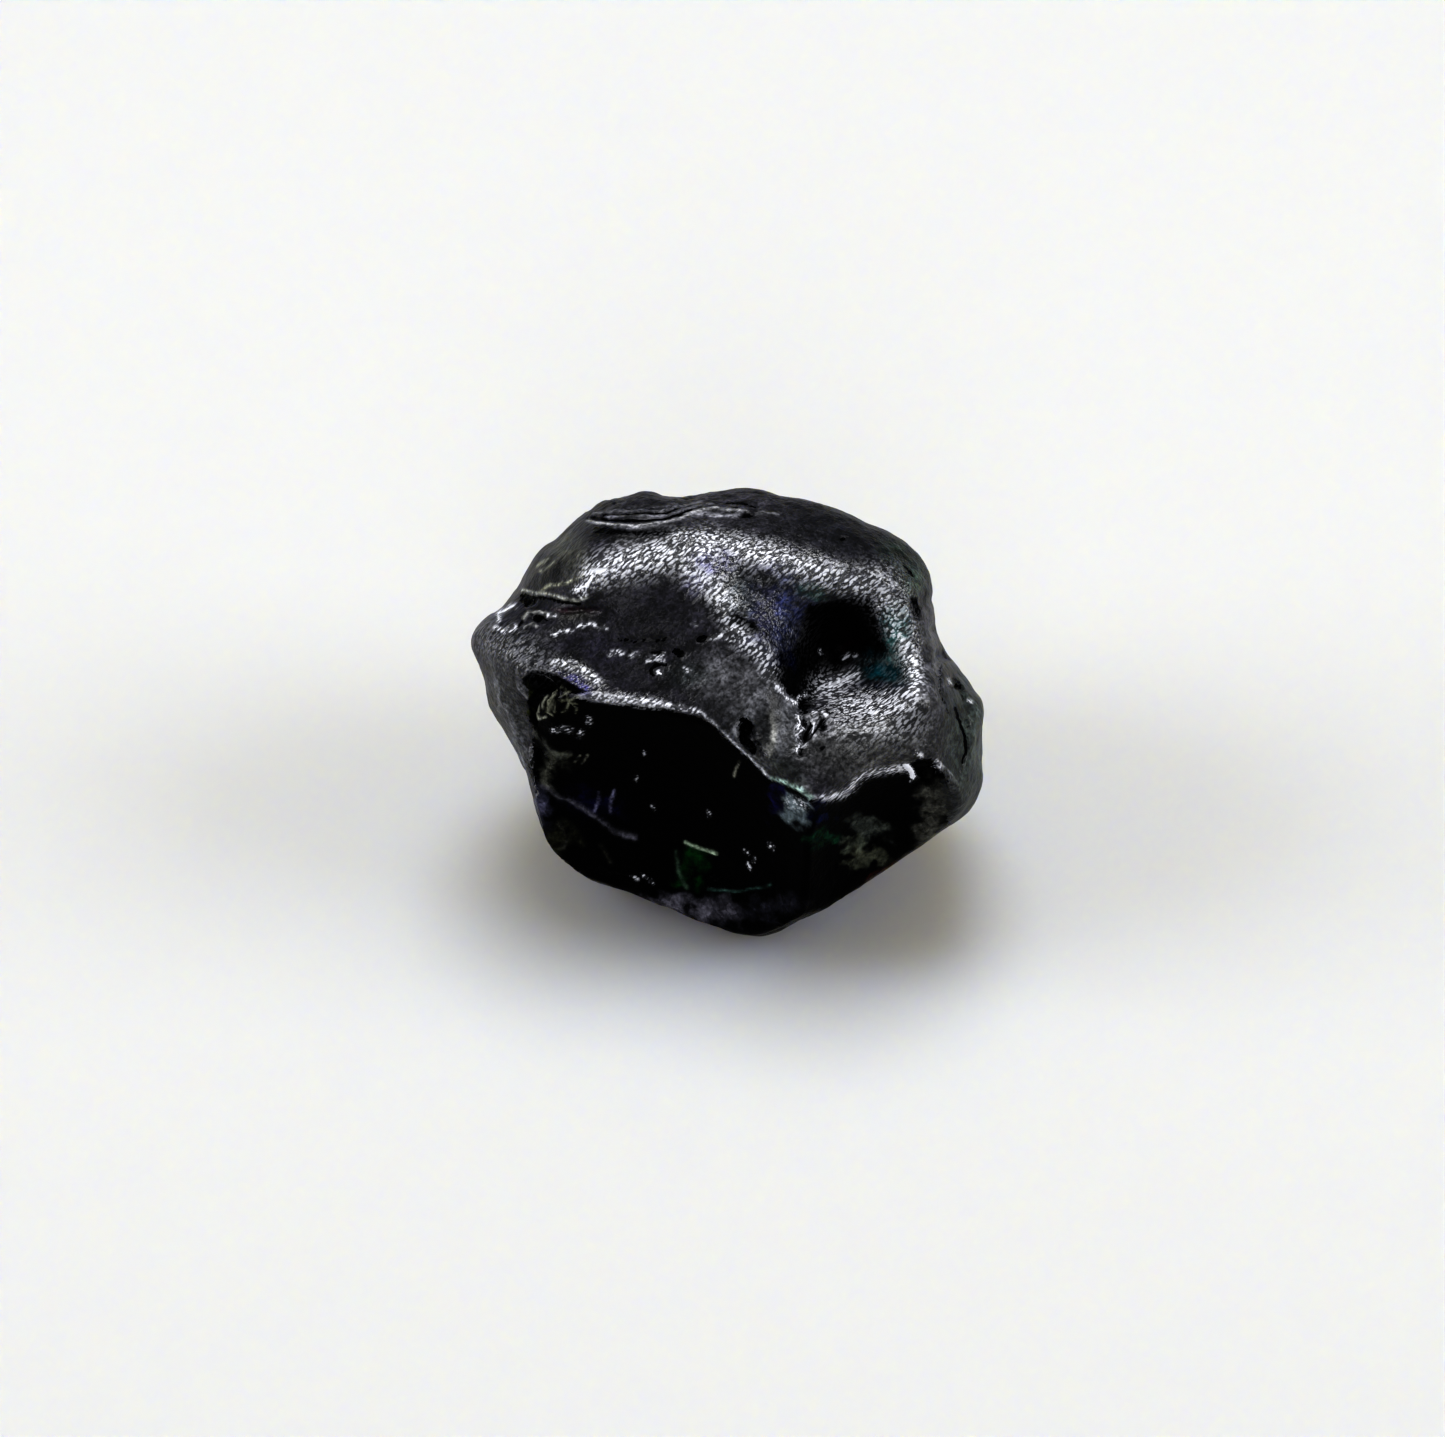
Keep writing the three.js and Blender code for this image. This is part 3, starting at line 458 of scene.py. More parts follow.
LIP_END = (4.3, 4.1)  # and at the cheek pit (mm)
LAYERS_UP, LAYERS_RIGHT, LAYERS_LEFT = (4.5, 4.65), (0.6, -0.8), (-4.0, -3.3)  # the layers (mm)
PATCHES = (-0.1, 0.5)  # of the larger noise, where the back is etched
FROST_PATCHES = (0.1, 0.6)  # and where it is frosted
BACK_ETCHED, BACK_FROSTED = 0.5, 0.4
SKIN_ETCHED = 0.12
# How far convex arrises pale: wear, and a painted highlight along the edges.
SCUFF_AND_EDGE_HIGHLIGHT = 0.7

# The relief of the wear.
LUMPS_IN_BREAKS = 0.3  # share of the lumps' height that the breaks have
LIP_WIDTH = 0.04  # half the lip's width, which is also how far it stands back from the arris (mm)
LAYER_SWAY, LAYER_BEND = 0.05, 2.0  # how far the layers sway up and down (mm), radians to a mm
LAYER_DROP, LAYER_MIDDLE = 4.0, 0.4  # how much steeper a layer drops than it rises, and its mean
MOUTH_WALL = (-0.04, 0.08)  # how far inside a mouth's outline its wall starts and ends (mm)
CRACK_FLARE, LINE_FLARE = 1.2, 1.3  # how much wider a crack or line is in relief than in colour

# How soft the rims of the patches are, as shares of their half-widths.
PATCH_RIM, STAIN_RIM, DEPTH_RIM, PIT_RIM = 0.45, 0.6, 0.35, 0.35

# How much the colour changes with the larger and the smaller noise, and its limits.
SHADE_CHANGE, SHADE_LIMITS = (0.35, 0.3), (0.35, 1.9)

# Relaxing: rounds, and how much of a turn between neighbours counts as a crease to keep
# (1 - cosine).
STEPS_ON_ARRISES = (4, 0.3)
FOLDS_ON_BACK = (20, 4.0)
ARRIS_CREASE = 0.02

# ---- numpy helpers ---------------------------------------------------------------------


def mm(length):
    """Millimetres of a length in scene units."""
    return length / MM


def smoothstep(value, low, high):
    t = np.clip((value - low) / (high - low), 0.0, 1.0)
    return t * t * (3.0 - 2.0 * t)


def bell(gap, half=1.0):
    return np.exp(-((gap / half) ** 2))


def waves(points, pitch, octaves=2, shift=0.0):
    """Smooth noise of about -1 to 1 at each point, one wave to every pitch (mm)."""
    places = points / pitch + shift
    return np.array([noise.fractal(Vector(p), 1.0, 2.0, octaves) for p in places])


def linear(code):
    """Linear colour of an sRGB hex code."""
    parts = [int(code[i:i + 2], 16) / 255 for i in (1, 3, 5)]
    return tuple(p / 12.92 if p <= 0.04045 else ((p + 0.055) / 1.055) ** 2.4 for p in parts)


def mix(colour, other, share):
    return colour + (other - colour) * share[:, None]


def blob(sight, place, half, turn, soft=PATCH_RIM):
    """1 inside a turned oval with a soft ragged rim, 0 outside."""
    c, s = math.cos(math.radians(turn)), math.sin(math.radians(turn))
    dx, dy = sight[0] - place[0], sight[1] - place[1]
    q = np.hypot((dx * c + dy * s) / half[0], (-dx * s + dy * c) / half[1])
    return 1.0 - smoothstep(q, 1.0 - soft, 1.0 + soft)


def gap_to_path(sight, path):
    """Distance of each point from a line of straight stretches (mm)."""
    across, up = sight
    nearest = np.full(len(across), np.inf)
    for (x0, y0), (x1, y1) in zip(path, path[1:]):
        dx, dy = x1 - x0, y1 - y0
        along = ((across - x0) * dx + (up - y0) * dy) / (dx * dx + dy * dy)
        t = np.clip(along, 0.0, 1.0)
        nearest = np.minimum(nearest, np.hypot(across - x0 - dx * t, up - y0 - dy * t))
    return nearest


def signed_gap(sight, outline):
    """Distance of each point from a closed outline, positive inside it (mm)."""
    across, up = sight
    closed = outline + outline[:1]
    inside = np.zeros(len(across), bool)
    for (x0, y0), (x1, y1) in zip(closed, closed[1:]):
        if y0 != y1:
            inside ^= ((y0 > up) != (y1 > up)) & (across < x0 + (up - y0) * (x1 - x0) / (y1 - y0))
    return np.where(inside, 1.0, -1.0) * gap_to_path(sight, closed)


# ---- mesh ------------------------------------------------------------------------------


def coordinates(mesh):
    co = np.empty(len(mesh.vertices) * 3, np.float32)
    mesh.vertices.foreach_get("co", co)
    return co.reshape(-1, 3).astype(float)


def set_coordinates(mesh, points):
    mesh.vertices.foreach_set("co", points.astype(np.float32).ravel())
    mesh.update()


def vertex_normals(mesh):
    normals = np.empty(len(mesh.vertices) * 3, np.float32)
    mesh.vertex_normals.foreach_get("vector", normals)
    return normals.reshape(-1, 3).astype(float)


def edge_ends(mesh):
    edges = np.empty(len(mesh.edges) * 2, np.int32)
    mesh.edges.foreach_get("vertices", edges)
    return edges.reshape(-1, 2).T


def neighbour_mean(values, ends, pull=None):
    """Mean of the neighbours' values, each pulling as told, and the summed pull."""
    a, b = ends
    pull = np.ones(len(a)) if pull is None else pull
    count = len(values)
    total = np.bincount(a, pull, count) + np.bincount(b, pull, count) + 1e-9
    columns = values.reshape(count, -1)
    mean = np.empty_like(columns, dtype=float)
    for i in range(columns.shape[1]):
        column = columns[:, i]
        pulled = np.bincount(a, pull * column[b], count) + np.bincount(b, pull * column[a], count)
        mean[:, i] = pulled / total
    return mean.reshape(values.shape), total


def applied(mesh, prepare):
    """The mesh after the modifiers that prepare adds to an object of it."""
    draft = bpy.data.objects.new("draft", mesh)
    bpy.context.collection.objects.link(draft)
    prepare(draft)
    graph = bpy.context.evaluated_depsgraph_get()
    made = bpy.data.meshes.new_from_object(draft.evaluated_get(graph))
    bpy.data.objects.remove(draft)
    return made


def even_mesh(solid, voxel):
    """A copy of the solid's surface in small even quads."""
    def prepare(draft):
        remesh = draft.modifiers.new("even", "REMESH")
        remesh.mode = "VOXEL"
        remesh.voxel_size = voxel

    return applied(solid.data.copy(), prepare)


def thin_out_back(mesh, share):
    """Leaves the given share of all the faces, taking them from the side turned from the camera."""
    hidden = smoothstep(vertex_normals(mesh) @ OUT, *THINNED)

    def prepare(draft):
        group = draft.vertex_groups.new(name="hidden")
        for step in range(1, 11):
            chosen = np.flatnonzero(np.ceil(hidden * 10) == step)
            group.add(chosen.tolist(), step / 10, "REPLACE")
        collapse = draft.modifiers.new("thin out", "DECIMATE")
        collapse.ratio = share
        collapse.vertex_group = group.name
        collapse.vertex_group_factor = 10.0

    return applied(mesh, prepare)


def relax(mesh, rounds, crease, only_back=False):
    """Evens out the facets and keeps the arrises: neighbours across a sharp turn pull little."""
    ends = edge_ends(mesh)
    for _ in range(rounds):
        points, normals = coordinates(mesh), vertex_normals(mesh)
        alike = np.einsum("ij,ij->i", normals[ends[0]], normals[ends[1]])
        mean, total = neighbour_mean(points, ends, np.exp(-np.maximum(1.0 - alike, 0.0) / crease))
        share = 0.5 * np.minimum(total, 1.0)
        if only_back:
            share *= smoothstep(normals @ OUT, *UNFOLDED)
        set_coordinates(mesh, points + (mean - points) * share[:, None])


def bulge(mesh, rounds):
    """How convex the surface is at each vertex: positive on arrises, negative in pits (mm)."""
    ends = edge_ends(mesh)
    points, normals = coordinates(mesh) / MM, vertex_normals(mesh)
    mean, _ = neighbour_mean(points, ends)
    convex = np.einsum("ij,ij->i", points - mean, normals)
    for _ in range(rounds):
        convex = 0.5 * convex + 0.5 * neighbour_mean(convex, ends)[0]
    return convex


class Skin:
    """What every step below needs to know about each vertex."""

    def __init__(self, mesh):
        self.points = coordinates(mesh) / MM
        self.normals = vertex_normals(mesh)
        self.facing = self.normals @ OUT
        self.bulge = bulge(mesh, 3)
        off = self.points - FACE_MIDDLE
        depth = off @ OUT
        nearer = 1.0 / (1.0 - depth / CAMERA_DISTANCE)
        self.sight = np.stack((off @ ACROSS * nearer, off @ UP_FACE * nearer))
        self.wander = np.stack([waves(self.points, WANDER_PITCH, 3, seed) for seed in WANDER_SEEDS])
        self.nearly = self.sight + NEARLY * self.wander
        self.ragged = self.sight + RAGGED * self.wander
        self.torn = self.sight + TORN * self.wander
        self.in_view = smoothstep(self.facing, *FACING) * smoothstep(depth, *FACE_DEPTH)
        self.from_break = self.egg_distance(off)
        self.into_break = signed_gap(self.nearly, BROKEN_FACE)

    @staticmethod
    def egg_distance(off):
        """How far outside the nearest break's egg each point is, in shares of its radii."""
        place = np.stack((off @ ACROSS, off @ UP_FACE, off @ OUT), axis=1)
        nearest = np.full(len(off), np.inf)
        for _, middle, radii in BREAKS:
            reach = np.linalg.norm((place - np.array(middle)) / np.array(radii), axis=1)
            nearest = np.minimum(nearest, reach)
        return nearest - 1.0


def worn_lift(skin, sizes):
    """How far the skin's lumps, lip, layers, swellings and fine ridges stand out (mm)."""
    across, up = skin.sight
    worn = smoothstep(skin.from_break, *WORN)
    lumps = waves(skin.points, mm(sizes.lump_pitch), 4, LUMP_SEED)
    lift = mm(sizes.lump_height) * lumps * (LUMPS_IN_BREAKS + (1.0 - LUMPS_IN_BREAKS) * worn)

    top = smoothstep(skin.normals[:, 2], *UPWARD)
    lipped = smoothstep(np.abs(across - LIP_CUSP), *LIP_CLEAR) * smoothstep(across, *LIP_END)
    lip = bell(skin.into_break + LIP_WIDTH, LIP_WIDTH)
    lift += mm(sizes.lip_height) * top * skin.in_view * lipped * lip

    layered = smoothstep(up, *LAYERS_UP) * smoothstep(across, *LAYERS_RIGHT)
    layered *= smoothstep(across, *LAYERS_LEFT)
    height = (up + LAYER_SWAY * np.sin(across * LAYER_BEND)) / (2.0 * mm(sizes.ledge_pitch))
    saw = np.mod(height + 0.5 * skin.wander[0], 1.0)
    step = np.minimum(saw, (1.0 - saw) * LAYER_DROP) - LAYER_MIDDLE
    lift += mm(sizes.ledge_height) * layered * step

    at_rim = bell(skin.facing, RIM)
    for _, rise, half, path in OUTLINE:
        lift += at_rim * rise * bell(gap_to_path(skin.sight, path), half)
    for _, _, half, rise, _, path in STREAKS:
        lift += skin.in_view * rise * bell(gap_to_path(skin.nearly, path), half * LINE_FLARE)
    return lift


def worn_push(skin):
    """How far pits, cracks and mouths go in, and chips come out, along the face's axis (mm)."""
    push = np.zeros(len(skin.points))
    for _, half, rise, _, path in FROST_AND_GLINTS:
        push -= skin.in_view * rise * bell(gap_to_path(skin.nearly, path), half)
    for _, half, deep, _, path in CRACKS:
        push += skin.in_view * deep * bell(gap_to_path(skin.nearly, path), half * CRACK_FLARE)
    for _, place, half, turn, deep, _ in PITS:
        push += skin.in_view * deep * blob(skin.ragged, place, half, turn)
    for _, deep, _, outline in HOLES:
        push += skin.in_view * deep * smoothstep(signed_gap(skin.nearly, outline), *MOUTH_WALL)
    return push


def carve(mesh, skin, sizes):
    """Moves the even mesh in and out for all the wear that is finer than the solid."""
    lift = worn_lift(skin, sizes) * smoothstep(skin.points[:, 2], *OFF_SHEET)
    moved = skin.points + skin.normals * lift[:, None] - OUT * worn_push(skin)[:, None]
    settle = moved[:, 2].min() * smoothstep(moved[:, 2], *NEAR_SHEET)
    moved[:, 2] = np.maximum(moved[:, 2] - settle, 0.0)
    set_coordinates(mesh, moved * MM)


# ---- layers on the mesh ----------------------------------------------------------------

LAYER_KINDS = {1: ("FLOAT", "value"), 4: ("FLOAT_COLOR", "color")}


def write_layer(mesh, name, values):
    """Stores numbers or colours (4 columns) at the vertices."""
    kind, key = LAYER_KINDS[values.size // len(mesh.vertices)]
    layer = mesh.attributes.new(name, kind, "POINT")
    layer.data.foreach_set(key, values.astype(np.float32).ravel())


def bareness_and_shade(skin, sizes):
    """1 where no frosted skin is left and the stone looks black, 0 on the skin, a ramp between. On the
    breaks it is the bare stone; in hollows, pits and cracks it is painted shade too.
    """
    seen = 0.5 + 0.5 * np.clip(skin.into_break / mm(sizes.bare_ramp), -1.0, 1.0)
    for _, _, soft, outline in HOLES:
        inside = np.clip(signed_gap(skin.nearly, outline) / soft, -1.0, 1.0)
        seen = np.maximum(seen, 0.5 + 0.5 * inside)
    for _, place, half, turn, _, black in PITS:
        seen = np.maximum(seen, black * blob(skin.ragged, place, half, turn, PIT_RIM))
    for _, half, _, black, path in CRACKS:
        seen = np.maximum(seen, black * bell(gap_to_path(skin.nearly, path), half))
    behind = 1.0 - smoothstep(skin.from_break, *BACK_BREAK)
    return skin.in_view * seen + (1.0 - skin.in_view) * behind


def etched(skin, patchy):
    """How strongly each vertex is etched to grains."""
    grain = SKIN_ETCHED + BACK_ETCHED * (1.0 - skin.in_view) * smoothstep(patchy, *PATCHES)
    for _, place, half, turn, strength in GRAIN:
        grain = np.maximum(grain, skin.in_view * strength * blob(skin.ragged, place, half, turn))
    return grain


def frosted_and_glinting(skin, patchy):
    """Share of pale flecks at each vertex: painted glints and highlights on the front, frost on the back."""
    frost_and_glints = BACK_FROSTED * smoothstep(skin.facing, *TURNED_AWAY) * smoothstep(patchy, *FROST_PATCHES)
    for _, half, _, share, path in FROST_AND_GLINTS:
        frost_and_glints = np.maximum(frost_and_glints, skin.in_view * share * bell(gap_to_path(skin.nearly, path), half))
    return frost_and_glints


def coloured(skin, patchy, sizes, colours):
    """Colour of the skin and colour inside the breaks at each vertex, with painted sheen, shade, reflections
    and edge highlights among them.
    """
    change = SHADE_CHANGE[0] * patchy + SHADE_CHANGE[1] * skin.wander[1]
    shade = np.clip(1.0 + change, *SHADE_LIMITS)[:, None]
    # Convex arrises pale: wear, and a painted highlight along the edges.
    scuff_and_edge_highlight = smoothstep(skin.bulge, mm(sizes.wear_and_highlight_start), mm(sizes.wear_and_highlight_full))
    tone = mix(np.array(colours.body) * shade, np.array(colours.scuff_and_edge_highlight), SCUFF_AND_EDGE_HIGHLIGHT * scuff_and_edge_highlight)
    deep = np.array(colours.broken) * shade
    for _, code, place, half, turn, strength in STAINS_SHEEN_AND_SHADE:
        share = skin.in_view * strength * blob(skin.ragged, place, half, turn, STAIN_RIM)
        tone = mix(tone, np.array(linear(code)) * shade, share)
    for _, code, place, half, turn, strength in BREAK_COLOURS_AND_REFLECTIONS:
        share = skin.in_view * strength * blob(skin.torn, place, half, turn, DEPTH_RIM)
        deep = mix(deep, np.array(linear(code)) * shade, share)
    for _, code, half, _, strength, path in STREAKS:
        share = skin.in_view * strength * bell(gap_to_path(skin.nearly, path), half)
        tone, deep = (mix(colour, np.array(linear(code)), share) for colour in (tone, deep))
    return tone, deep


def paint(mesh, skin, sizes, colours):
    """Writes the layers that the material reads."""
    patchy = waves(skin.points, PATCH_PITCH, 3, PATCH_SEED)
    write_layer(mesh, "frost_and_glints", frosted_and_glinting(skin, patchy))
    write_layer(mesh, "grain", etched(skin, patchy))
    write_layer(mesh, "bare_and_shade", bareness_and_shade(skin, sizes))
    opaque = np.ones(len(skin.points))
    for name, colour in zip(("tone", "deep"), coloured(skin, patchy, sizes, colours)):
        write_layer(mesh, name, np.column_stack((colour, opaque)))


# ---- materials -------------------------------------------------------------------------


def add_node(tree, kind, links=(), **settings):
    """Adds a node, sets its properties and named inputs, and links its inputs."""
    made = tree.nodes.new(kind)
    for name, value in settings.items():
        key = name.replace("_", " ")
        if key in made.inputs:
            made.inputs[key].default_value = value
        else:
            setattr(made, name, value)
    for socket, source in links:
        tree.links.new(source, made.inputs[socket])
    return made


def new_material(name):
    material = bpy.data.materials.new(name)
    material.use_nodes = True
    tree = material.node_tree
    tree.nodes.clear()
    return material, tree


def worn_corundum(sizes, colours):
    """Natural corundum, tumbled in a stream: a near-black body whose etched skin sparkles.

    Where the stone broke there is no frosted skin. Light goes in and does not come back, so it
    looks like black glass. The pale flecks are partly painted glints and highlights, and the black
    mouths of hollows, pits and cracks are partly painted shade.
    """
    material, tree = new_material("worn_corundum")
    place = add_node(tree, "ShaderNodeTexCoord").outputs["Object"]
    layers = {name: add_node(tree, "ShaderNodeAttribute", attribute_name=name).outputs
              for name in ("tone", "deep", "grain", "bare_and_shade", "frost_and_glints")}
    tone, deep = layers["tone"]["Color"], layers["deep"]["Color"]
    grain, bare_and_shade, frost_and_glints = (layers[name]["Fac"] for name in ("grain", "bare_and_shade", "frost_and_glints"))

    # Grains are strokes side by side, one pitch apart, bent a little and broken up by grit. The
    # grit stands for frosting that is itself too fine to show, so it is drawn coarser.
    bent = add_node(tree, "ShaderNodeTexNoise", [("Vector", place)], Scale=1 / (3.0 * sizes.grain_pitch),
                    Detail=1.0).outputs["Color"]
    moved = add_node(tree, "ShaderNodeVectorMath", [(0, bent), (2, place)], operation="MULTIPLY_ADD")
    moved.inputs[1].default_value = (1.5 * sizes.grain_pitch,) * 3
    strokes = add_node(tree, "ShaderNodeMapping", [("Vector", moved.outputs[0])], vector_type="TEXTURE",
                       Rotation=GRAIN_AXES.to_euler(), Scale=(sizes.grain_length, 1.0, 1.0)).outputs[0]
    cells = add_node(tree, "ShaderNodeTexVoronoi", [("Vector", strokes)], Scale=1 / sizes.grain_pitch,
                     Randomness=1.0).outputs["Distance"]
    grains = add_node(tree, "ShaderNodeMapRange", [("Value", cells)], From_Min=0.2, From_Max=0.9,
                      To_Min=0.8, To_Max=0.2).outputs[0]
    grit = add_node(tree, "ShaderNodeTexNoise", [("Vector", place)], Scale=1 / sizes.grit_pitch,
                    Detail=1.0, Roughness=0.6).outputs["Fac"]
    sugar = add_node(tree, "ShaderNodeMix", [("A", grains), ("B", grit)], Factor=0.35).outputs[0]

    # Clouds in the skin, satin drawn out along the grains, and the small facets of a break.
    mottle = add_node(tree, "ShaderNodeTexNoise", [("Vector", place)], Scale=1 / sizes.mottle_pitch,
                      Detail=4.0, Roughness=0.7).outputs["Fac"]
    satin = add_node(tree, "ShaderNodeTexNoise", [("Vector", strokes)], Scale=1.5 / sizes.mottle_pitch,
                     Detail=3.0, Roughness=0.6).outputs["Fac"]
    facets = add_node(tree, "ShaderNodeTexVoronoi", [("Vector", place)], Scale=1 / sizes.facet_pitch,
                      Randomness=1.0).outputs["Color"]

    def tinted(colour, patterns):
        """The colour times each pattern, whose middle third is spread between two shares."""
        for pattern, low, high in patterns:
            share = add_node(tree, "ShaderNodeMapRange", [("Value", pattern)], From_Min=0.33,
                             From_Max=0.67, To_Min=low, To_Max=high).outputs[0]
            colour = add_node(tree, "ShaderNodeVectorMath", [(0, colour), (1, share)],
                              operation="MULTIPLY").outputs[0]
        return colour

    # The bare places and the painted shade in hollows, pits and cracks get sharp ragged rims from the grain.
    rims = add_node(tree, "ShaderNodeMath", [(0, sugar), (1, bare_and_shade)], operation="ADD").outputs[0]
    bare_and_shade = add_node(tree, "ShaderNodeMapRange", [("Value", rims)], From_Min=1.0, From_Max=1.12).outputs[0]

    # Frost and painted glints lie on the grains, and where they are thickest between them too.
    grains = add_node(tree, "ShaderNodeMapRange", [("Value", sugar)], From_Min=0.5, From_Max=0.61,
                      To_Min=sizes.fleck_floor, To_Max=1.0).outputs[0]
    solid = add_node(tree, "ShaderNodeMapRange", [("Value", frost_and_glints)], From_Min=0.85, From_Max=1.0).outputs[0]
    either = add_node(tree, "ShaderNodeMath", [(0, grains), (1, solid)], operation="MAXIMUM").outputs[0]
    flecks = add_node(tree, "ShaderNodeMath", [(0, frost_and_glints), (1, either)], operation="MULTIPLY",
                      use_clamp=True).outputs[0]

    grained = add_node(tree, "ShaderNodeMix", [("Factor", grain), ("B", sugar)], A=0.5).outputs[0]
    tone = tinted(tone, ((grained, 0.1, 2.1), (satin, 0.3, 1.7), (mottle, 0.5, 1.5), (grit, 0.4, 1.5)))
    deep = tinted(deep, ((facets, 0.7, 1.2), (mottle, 0.1, 1.9), (grit, 0.75, 1.25)))
    colour = add_node(tree, "ShaderNodeMix", [("Factor", bare_and_shade), (6, tone), (7, deep)],
                      data_type="RGBA").outputs[2]
    frost_and_glint_mix = add_node(tree, "ShaderNodeMix", [("Factor", flecks), (6, colour)], data_type="RGBA")
    frost_and_glint_mix.inputs[7].default_value = (*colours.frosted_and_glinting, 1.0)
    colour = frost_and_glint_mix.outputs[2]

    rough = add_node(tree, "ShaderNodeBump", [("Height", mottle)], Distance=sizes.mottle_height).outputs[0]
    strength = add_node(tree, "ShaderNodeMapRange", [("Value", grain)], To_Min=0.1, To_Max=1.0).outputs[0]
    grainy = add_node(tree, "ShaderNodeBump", [("Height", sugar), ("Strength", strength), ("Normal", rough)],
                      Distance=sizes.grain_height).outputs[0]
    dull = add_node(tree, "ShaderNodeBsdfPrincipled", [("Base Color", colour), ("Normal", grainy)],
                    Roughness=sizes.smooth_roughness, IOR=1.77, Specular_IOR_Level=0.15)
    sparkling = add_node(tree, "ShaderNodeBsdfPrincipled", [("Base Color", colour), ("Normal", grainy)],
                         Roughness=sizes.grain_roughness, IOR=1.77, Specular_IOR_Level=0.5)
    skin = add_node(tree, "ShaderNodeMixShader",
                    [(0, grain), (1, dull.outputs[0]), (2, sparkling.outputs[0])])
    glass = add_node(tree, "ShaderNodeBsdfPrincipled", [("Base Color", colour), ("Normal", rough)],
                     Roughness=sizes.glassy_roughness, IOR=1.77, Specular_IOR_Level=0.02)
    both = add_node(tree, "ShaderNodeMixShader", [(0, bare_and_shade), (1, skin.outputs[0]), (2, glass.outputs[0])])
    add_node(tree, "ShaderNodeOutputMaterial", [("Surface", both.outputs[0])])
    return material


def foam_sheet(colours):
    """Thin white packing foam: light spreads inside it, so its shadows are pale and warm."""
    material, tree = new_material("foam_sheet")
    foam = add_node(tree, "ShaderNodeBsdfPrincipled", Base_Color=(*colours.sheet, 1.0), Roughness=0.7,
                    Subsurface_Weight=1.0, Subsurface_Radius=(1.0, 0.8, 0.3), Subsurface_Scale=9.0 * MM)
    add_node(tree, "ShaderNodeOutputMaterial", [("Surface", foam.outputs[0])])
    return material


# ---- settings --------------------------------------------------------------------------


def length_setting(name, description, default):
    """A length kept in scene units, from a default in millimetres."""
    return FloatProperty(name=name, description=description, default=default * MM,
                         unit="LENGTH", precision=6)


def share_setting(name, description, default):
    """A number from none (0) to all (1)."""
    return FloatProperty(name=name, description=description, default=default,
                         min=0.0, max=1.0, subtype="FACTOR")


def colour_setting(name, description, code):
    """A colour, from the sRGB hex code of its default."""
    return FloatVectorProperty(name=name, description=description, default=linear(code),
                               min=0.0, max=1.0, subtype="COLOR")


class StoneSizes(bpy.types.PropertyGroup):
    mesh_step: length_setting("Mesh step", "Side of the even quads", 0.056)
    faces_kept: share_setting("Faces kept", "Share of faces left once the back is thinned", 0.55)
    relax_rounds: IntProperty(
        name="Relaxing rounds", description="Passes that even out the facets", default=36, min=0)
    lump_height: length_setting("Lump height", "Height of small worn lumps", 0.035)
    lump_pitch: length_setting("Lump pitch", "Distance between small lumps", 0.8)
    lip_height: length_setting("Lip height", "Height of the lip along an arris", 0.03)
    ledge_height: length_setting("Ledge height", "Height of the layers' steps", 0.05)
    ledge_pitch: length_setting("Ledge pitch", "Distance between the layers", 0.15)
    # The bulges where arrises begin to pale and are fully pale, as wear and as a painted highlight.
    wear_and_highlight_start: length_setting("Wear start", "Bulge where wear begins to pale an arris", 0.0012)
    wear_and_highlight_full: length_setting("Wear full", "Bulge where an arris is fully scuffed", 0.005)
    bare_ramp: length_setting("Bare ramp", "Half the width of the border of a broken face", 0.12)
    mottle_pitch: length_setting("Mottle pitch", "Size of the skin's cloudy patches", 0.45)
    mottle_height: length_setting("Mottle height", "Depth of the fine pitting", 0.06)
    facet_pitch: length_setting("Facet pitch", "Size of the small facets in a break", 0.3)
    grain_pitch: length_setting("Grain pitch", "Distance between the etched grains", 0.065)
    grain_length: FloatProperty(
        name="Grain length", description="Length of a grain in grain pitches", default=3.4)
    grain_height: length_setting("Grain height", "Depth of the etched grain", 0.07)
    grit_pitch: length_setting("Grit pitch", "Size of the finest roughness", 0.09)
    fleck_floor: share_setting("Fleck floor", "Share of frost left between the grains", 0.08)
    grain_roughness: share_setting("Grain roughness", "Roughness of the grains", 0.24)
    smooth_roughness: share_setting("Smooth roughness", "Roughness of smooth skin", 0.45)
    glassy_roughness: share_setting("Glassy roughness", "Roughness of the breaks", 0.25)


class StoneColours(bpy.types.PropertyGroup):
    body: colour_setting("Body", "Colour of the worn skin", "#1c1b21")
    broken: colour_setting("Broken", "Colour of the breaks", "#020203")
    # Worn arrises, paled as wear and as a painted highlight along the edges.
    scuff_and_edge_highlight: colour_setting("Scuffed", "Colour of worn arrises", "#7c7c80")
    # Pale flecks: painted glints and highlights on the front, frost on the back.
    frosted_and_glinting: colour_setting("Frosted", "Colour of bruised flecks", "#e2e3ea")
    sheet: colour_setting("Sheet", "Colour of the sheet below", "#b9b9b8")


# ---- operators -------------------------------------------------------------------------


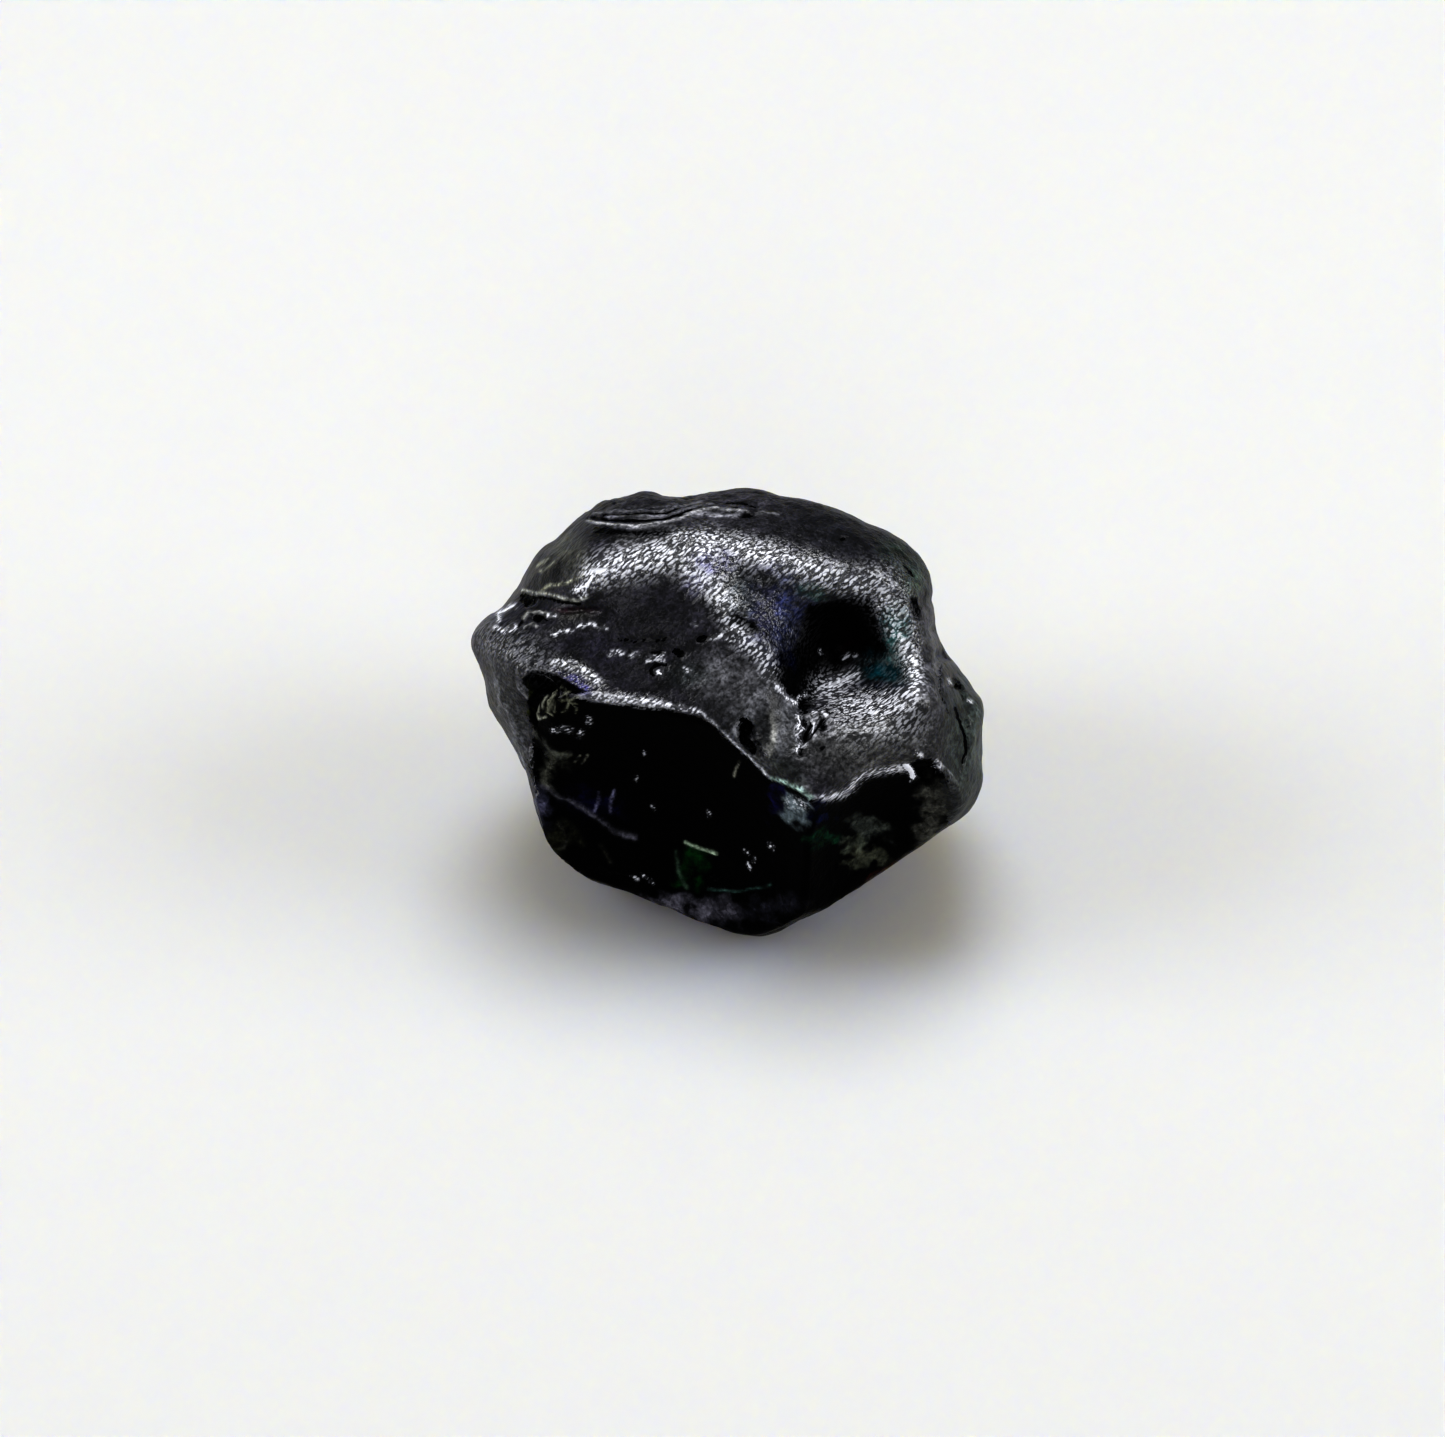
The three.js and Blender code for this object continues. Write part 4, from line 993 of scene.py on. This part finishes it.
class AddSapphire(bpy.types.Operator):
    """Adds the worn sapphire in place of its plain solid"""

    bl_idname = "sapphire.add_stone"
    bl_label = "Add the stone"

    def execute(self, context):
        sizes, colours = context.scene.stone_sizes, context.scene.stone_colours
        mesh = thin_out_back(even_mesh(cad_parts["sapphire"], sizes.mesh_step), sizes.faces_kept)
        relax(mesh, *STEPS_ON_ARRISES)
        relax(mesh, *FOLDS_ON_BACK, only_back=True)
        relax(mesh, sizes.relax_rounds, ARRIS_CREASE)
        skin = Skin(mesh)
        carve(mesh, skin, sizes)
        paint(mesh, skin, sizes, colours)
        mesh.name = "worn_sapphire"
        mesh.polygons.foreach_set("use_smooth", np.ones(len(mesh.polygons), bool))
        mesh.materials.clear()
        mesh.materials.append(worn_corundum(sizes, colours))
        stone = bpy.data.objects.new("worn_sapphire", mesh)
        context.collection.objects.link(stone)
        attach(stone, "root")
        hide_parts("sapphire")
        return {"FINISHED"}


def add_lamps(context):
    for name, size, energy, place in LAMPS:
        lamp = bpy.data.lights.new(name, "AREA")
        lamp.shape = "ELLIPSE"
        lamp.size, lamp.size_y = size
        lamp.energy = energy
        light = bpy.data.objects.new(name, lamp)
        light.location = place
        light.rotation_euler = (LAMP_AIM - light.location).to_track_quat("-Z", "Y").to_euler()
        context.collection.objects.link(light)


def add_room_light(scene):
    scene.world = bpy.data.worlds.new("studio")
    scene.world.use_nodes = True
    background = scene.world.node_tree.nodes["Background"]
    background.inputs["Color"].default_value = (*ROOM_TINT, 1.0)
    background.inputs["Strength"].default_value = ROOM_LIGHT


def add_camera(context):
    """A long lens that looks straight at the worn face."""
    lens = bpy.data.cameras.new("camera")
    lens.sensor_width = SENSOR_WIDTH
    lens.lens = SENSOR_WIDTH * CAMERA_DISTANCE / VIEW_WIDTH
    lens.clip_start = MM
    camera = bpy.data.objects.new("camera", lens)
    aim = FACE_MIDDLE + ACROSS * CAMERA_AIM[0] + UP_FACE * CAMERA_AIM[1]
    turn = Matrix((ACROSS, UP_FACE, OUT)).transposed().to_4x4()
    camera.matrix_world = Matrix.Translation(Vector((aim + OUT * CAMERA_DISTANCE) * MM)) @ turn
    context.collection.objects.link(camera)
    context.scene.camera = camera


class AddStage(bpy.types.Operator):
    """Adds the sheet, the soft light over it and the camera"""

    bl_idname = "sapphire.add_stage"
    bl_label = "Add the stage"

    def execute(self, context):
        scene = context.scene
        bpy.ops.mesh.primitive_plane_add(size=SHEET_SIDE)
        sheet = context.object
        sheet.name = "sheet"
        sheet.data.materials.append(foam_sheet(scene.stone_colours))
        add_lamps(context)
        add_room_light(scene)
        add_camera(context)
        scene.view_settings.view_transform = "Standard"
        scene.view_settings.look = "Very High Contrast"
        return {"FINISHED"}


class StonePanel(bpy.types.Panel):
    """Lists the settings and what can be added"""

    bl_idname = "VIEW3D_PT_sapphire"
    bl_label = "Rough sapphire"
    bl_space_type = "VIEW_3D"
    bl_region_type = "UI"
    bl_category = "Sapphire"

    def draw(self, context):
        for group in (context.scene.stone_sizes, context.scene.stone_colours):
            for name in type(group).__annotations__:
                self.layout.prop(group, name)
        for operator in OPERATORS:
            self.layout.operator(operator.bl_idname)


OPERATORS = (AddStage, AddSapphire)
CLASSES = (StoneSizes, StoneColours, *OPERATORS, StonePanel)


def register():
    for cls in CLASSES:
        bpy.utils.register_class(cls)
    bpy.types.Scene.stone_sizes = PointerProperty(type=StoneSizes)
    bpy.types.Scene.stone_colours = PointerProperty(type=StoneColours)


def unregister():
    del bpy.types.Scene.stone_sizes
    del bpy.types.Scene.stone_colours
    for cls in reversed(CLASSES):
        bpy.utils.unregister_class(cls)


def main():
    register()
    bpy.ops.sapphire.add_stage()
    bpy.ops.sapphire.add_stone()


if __name__ == "__main__":
    main()
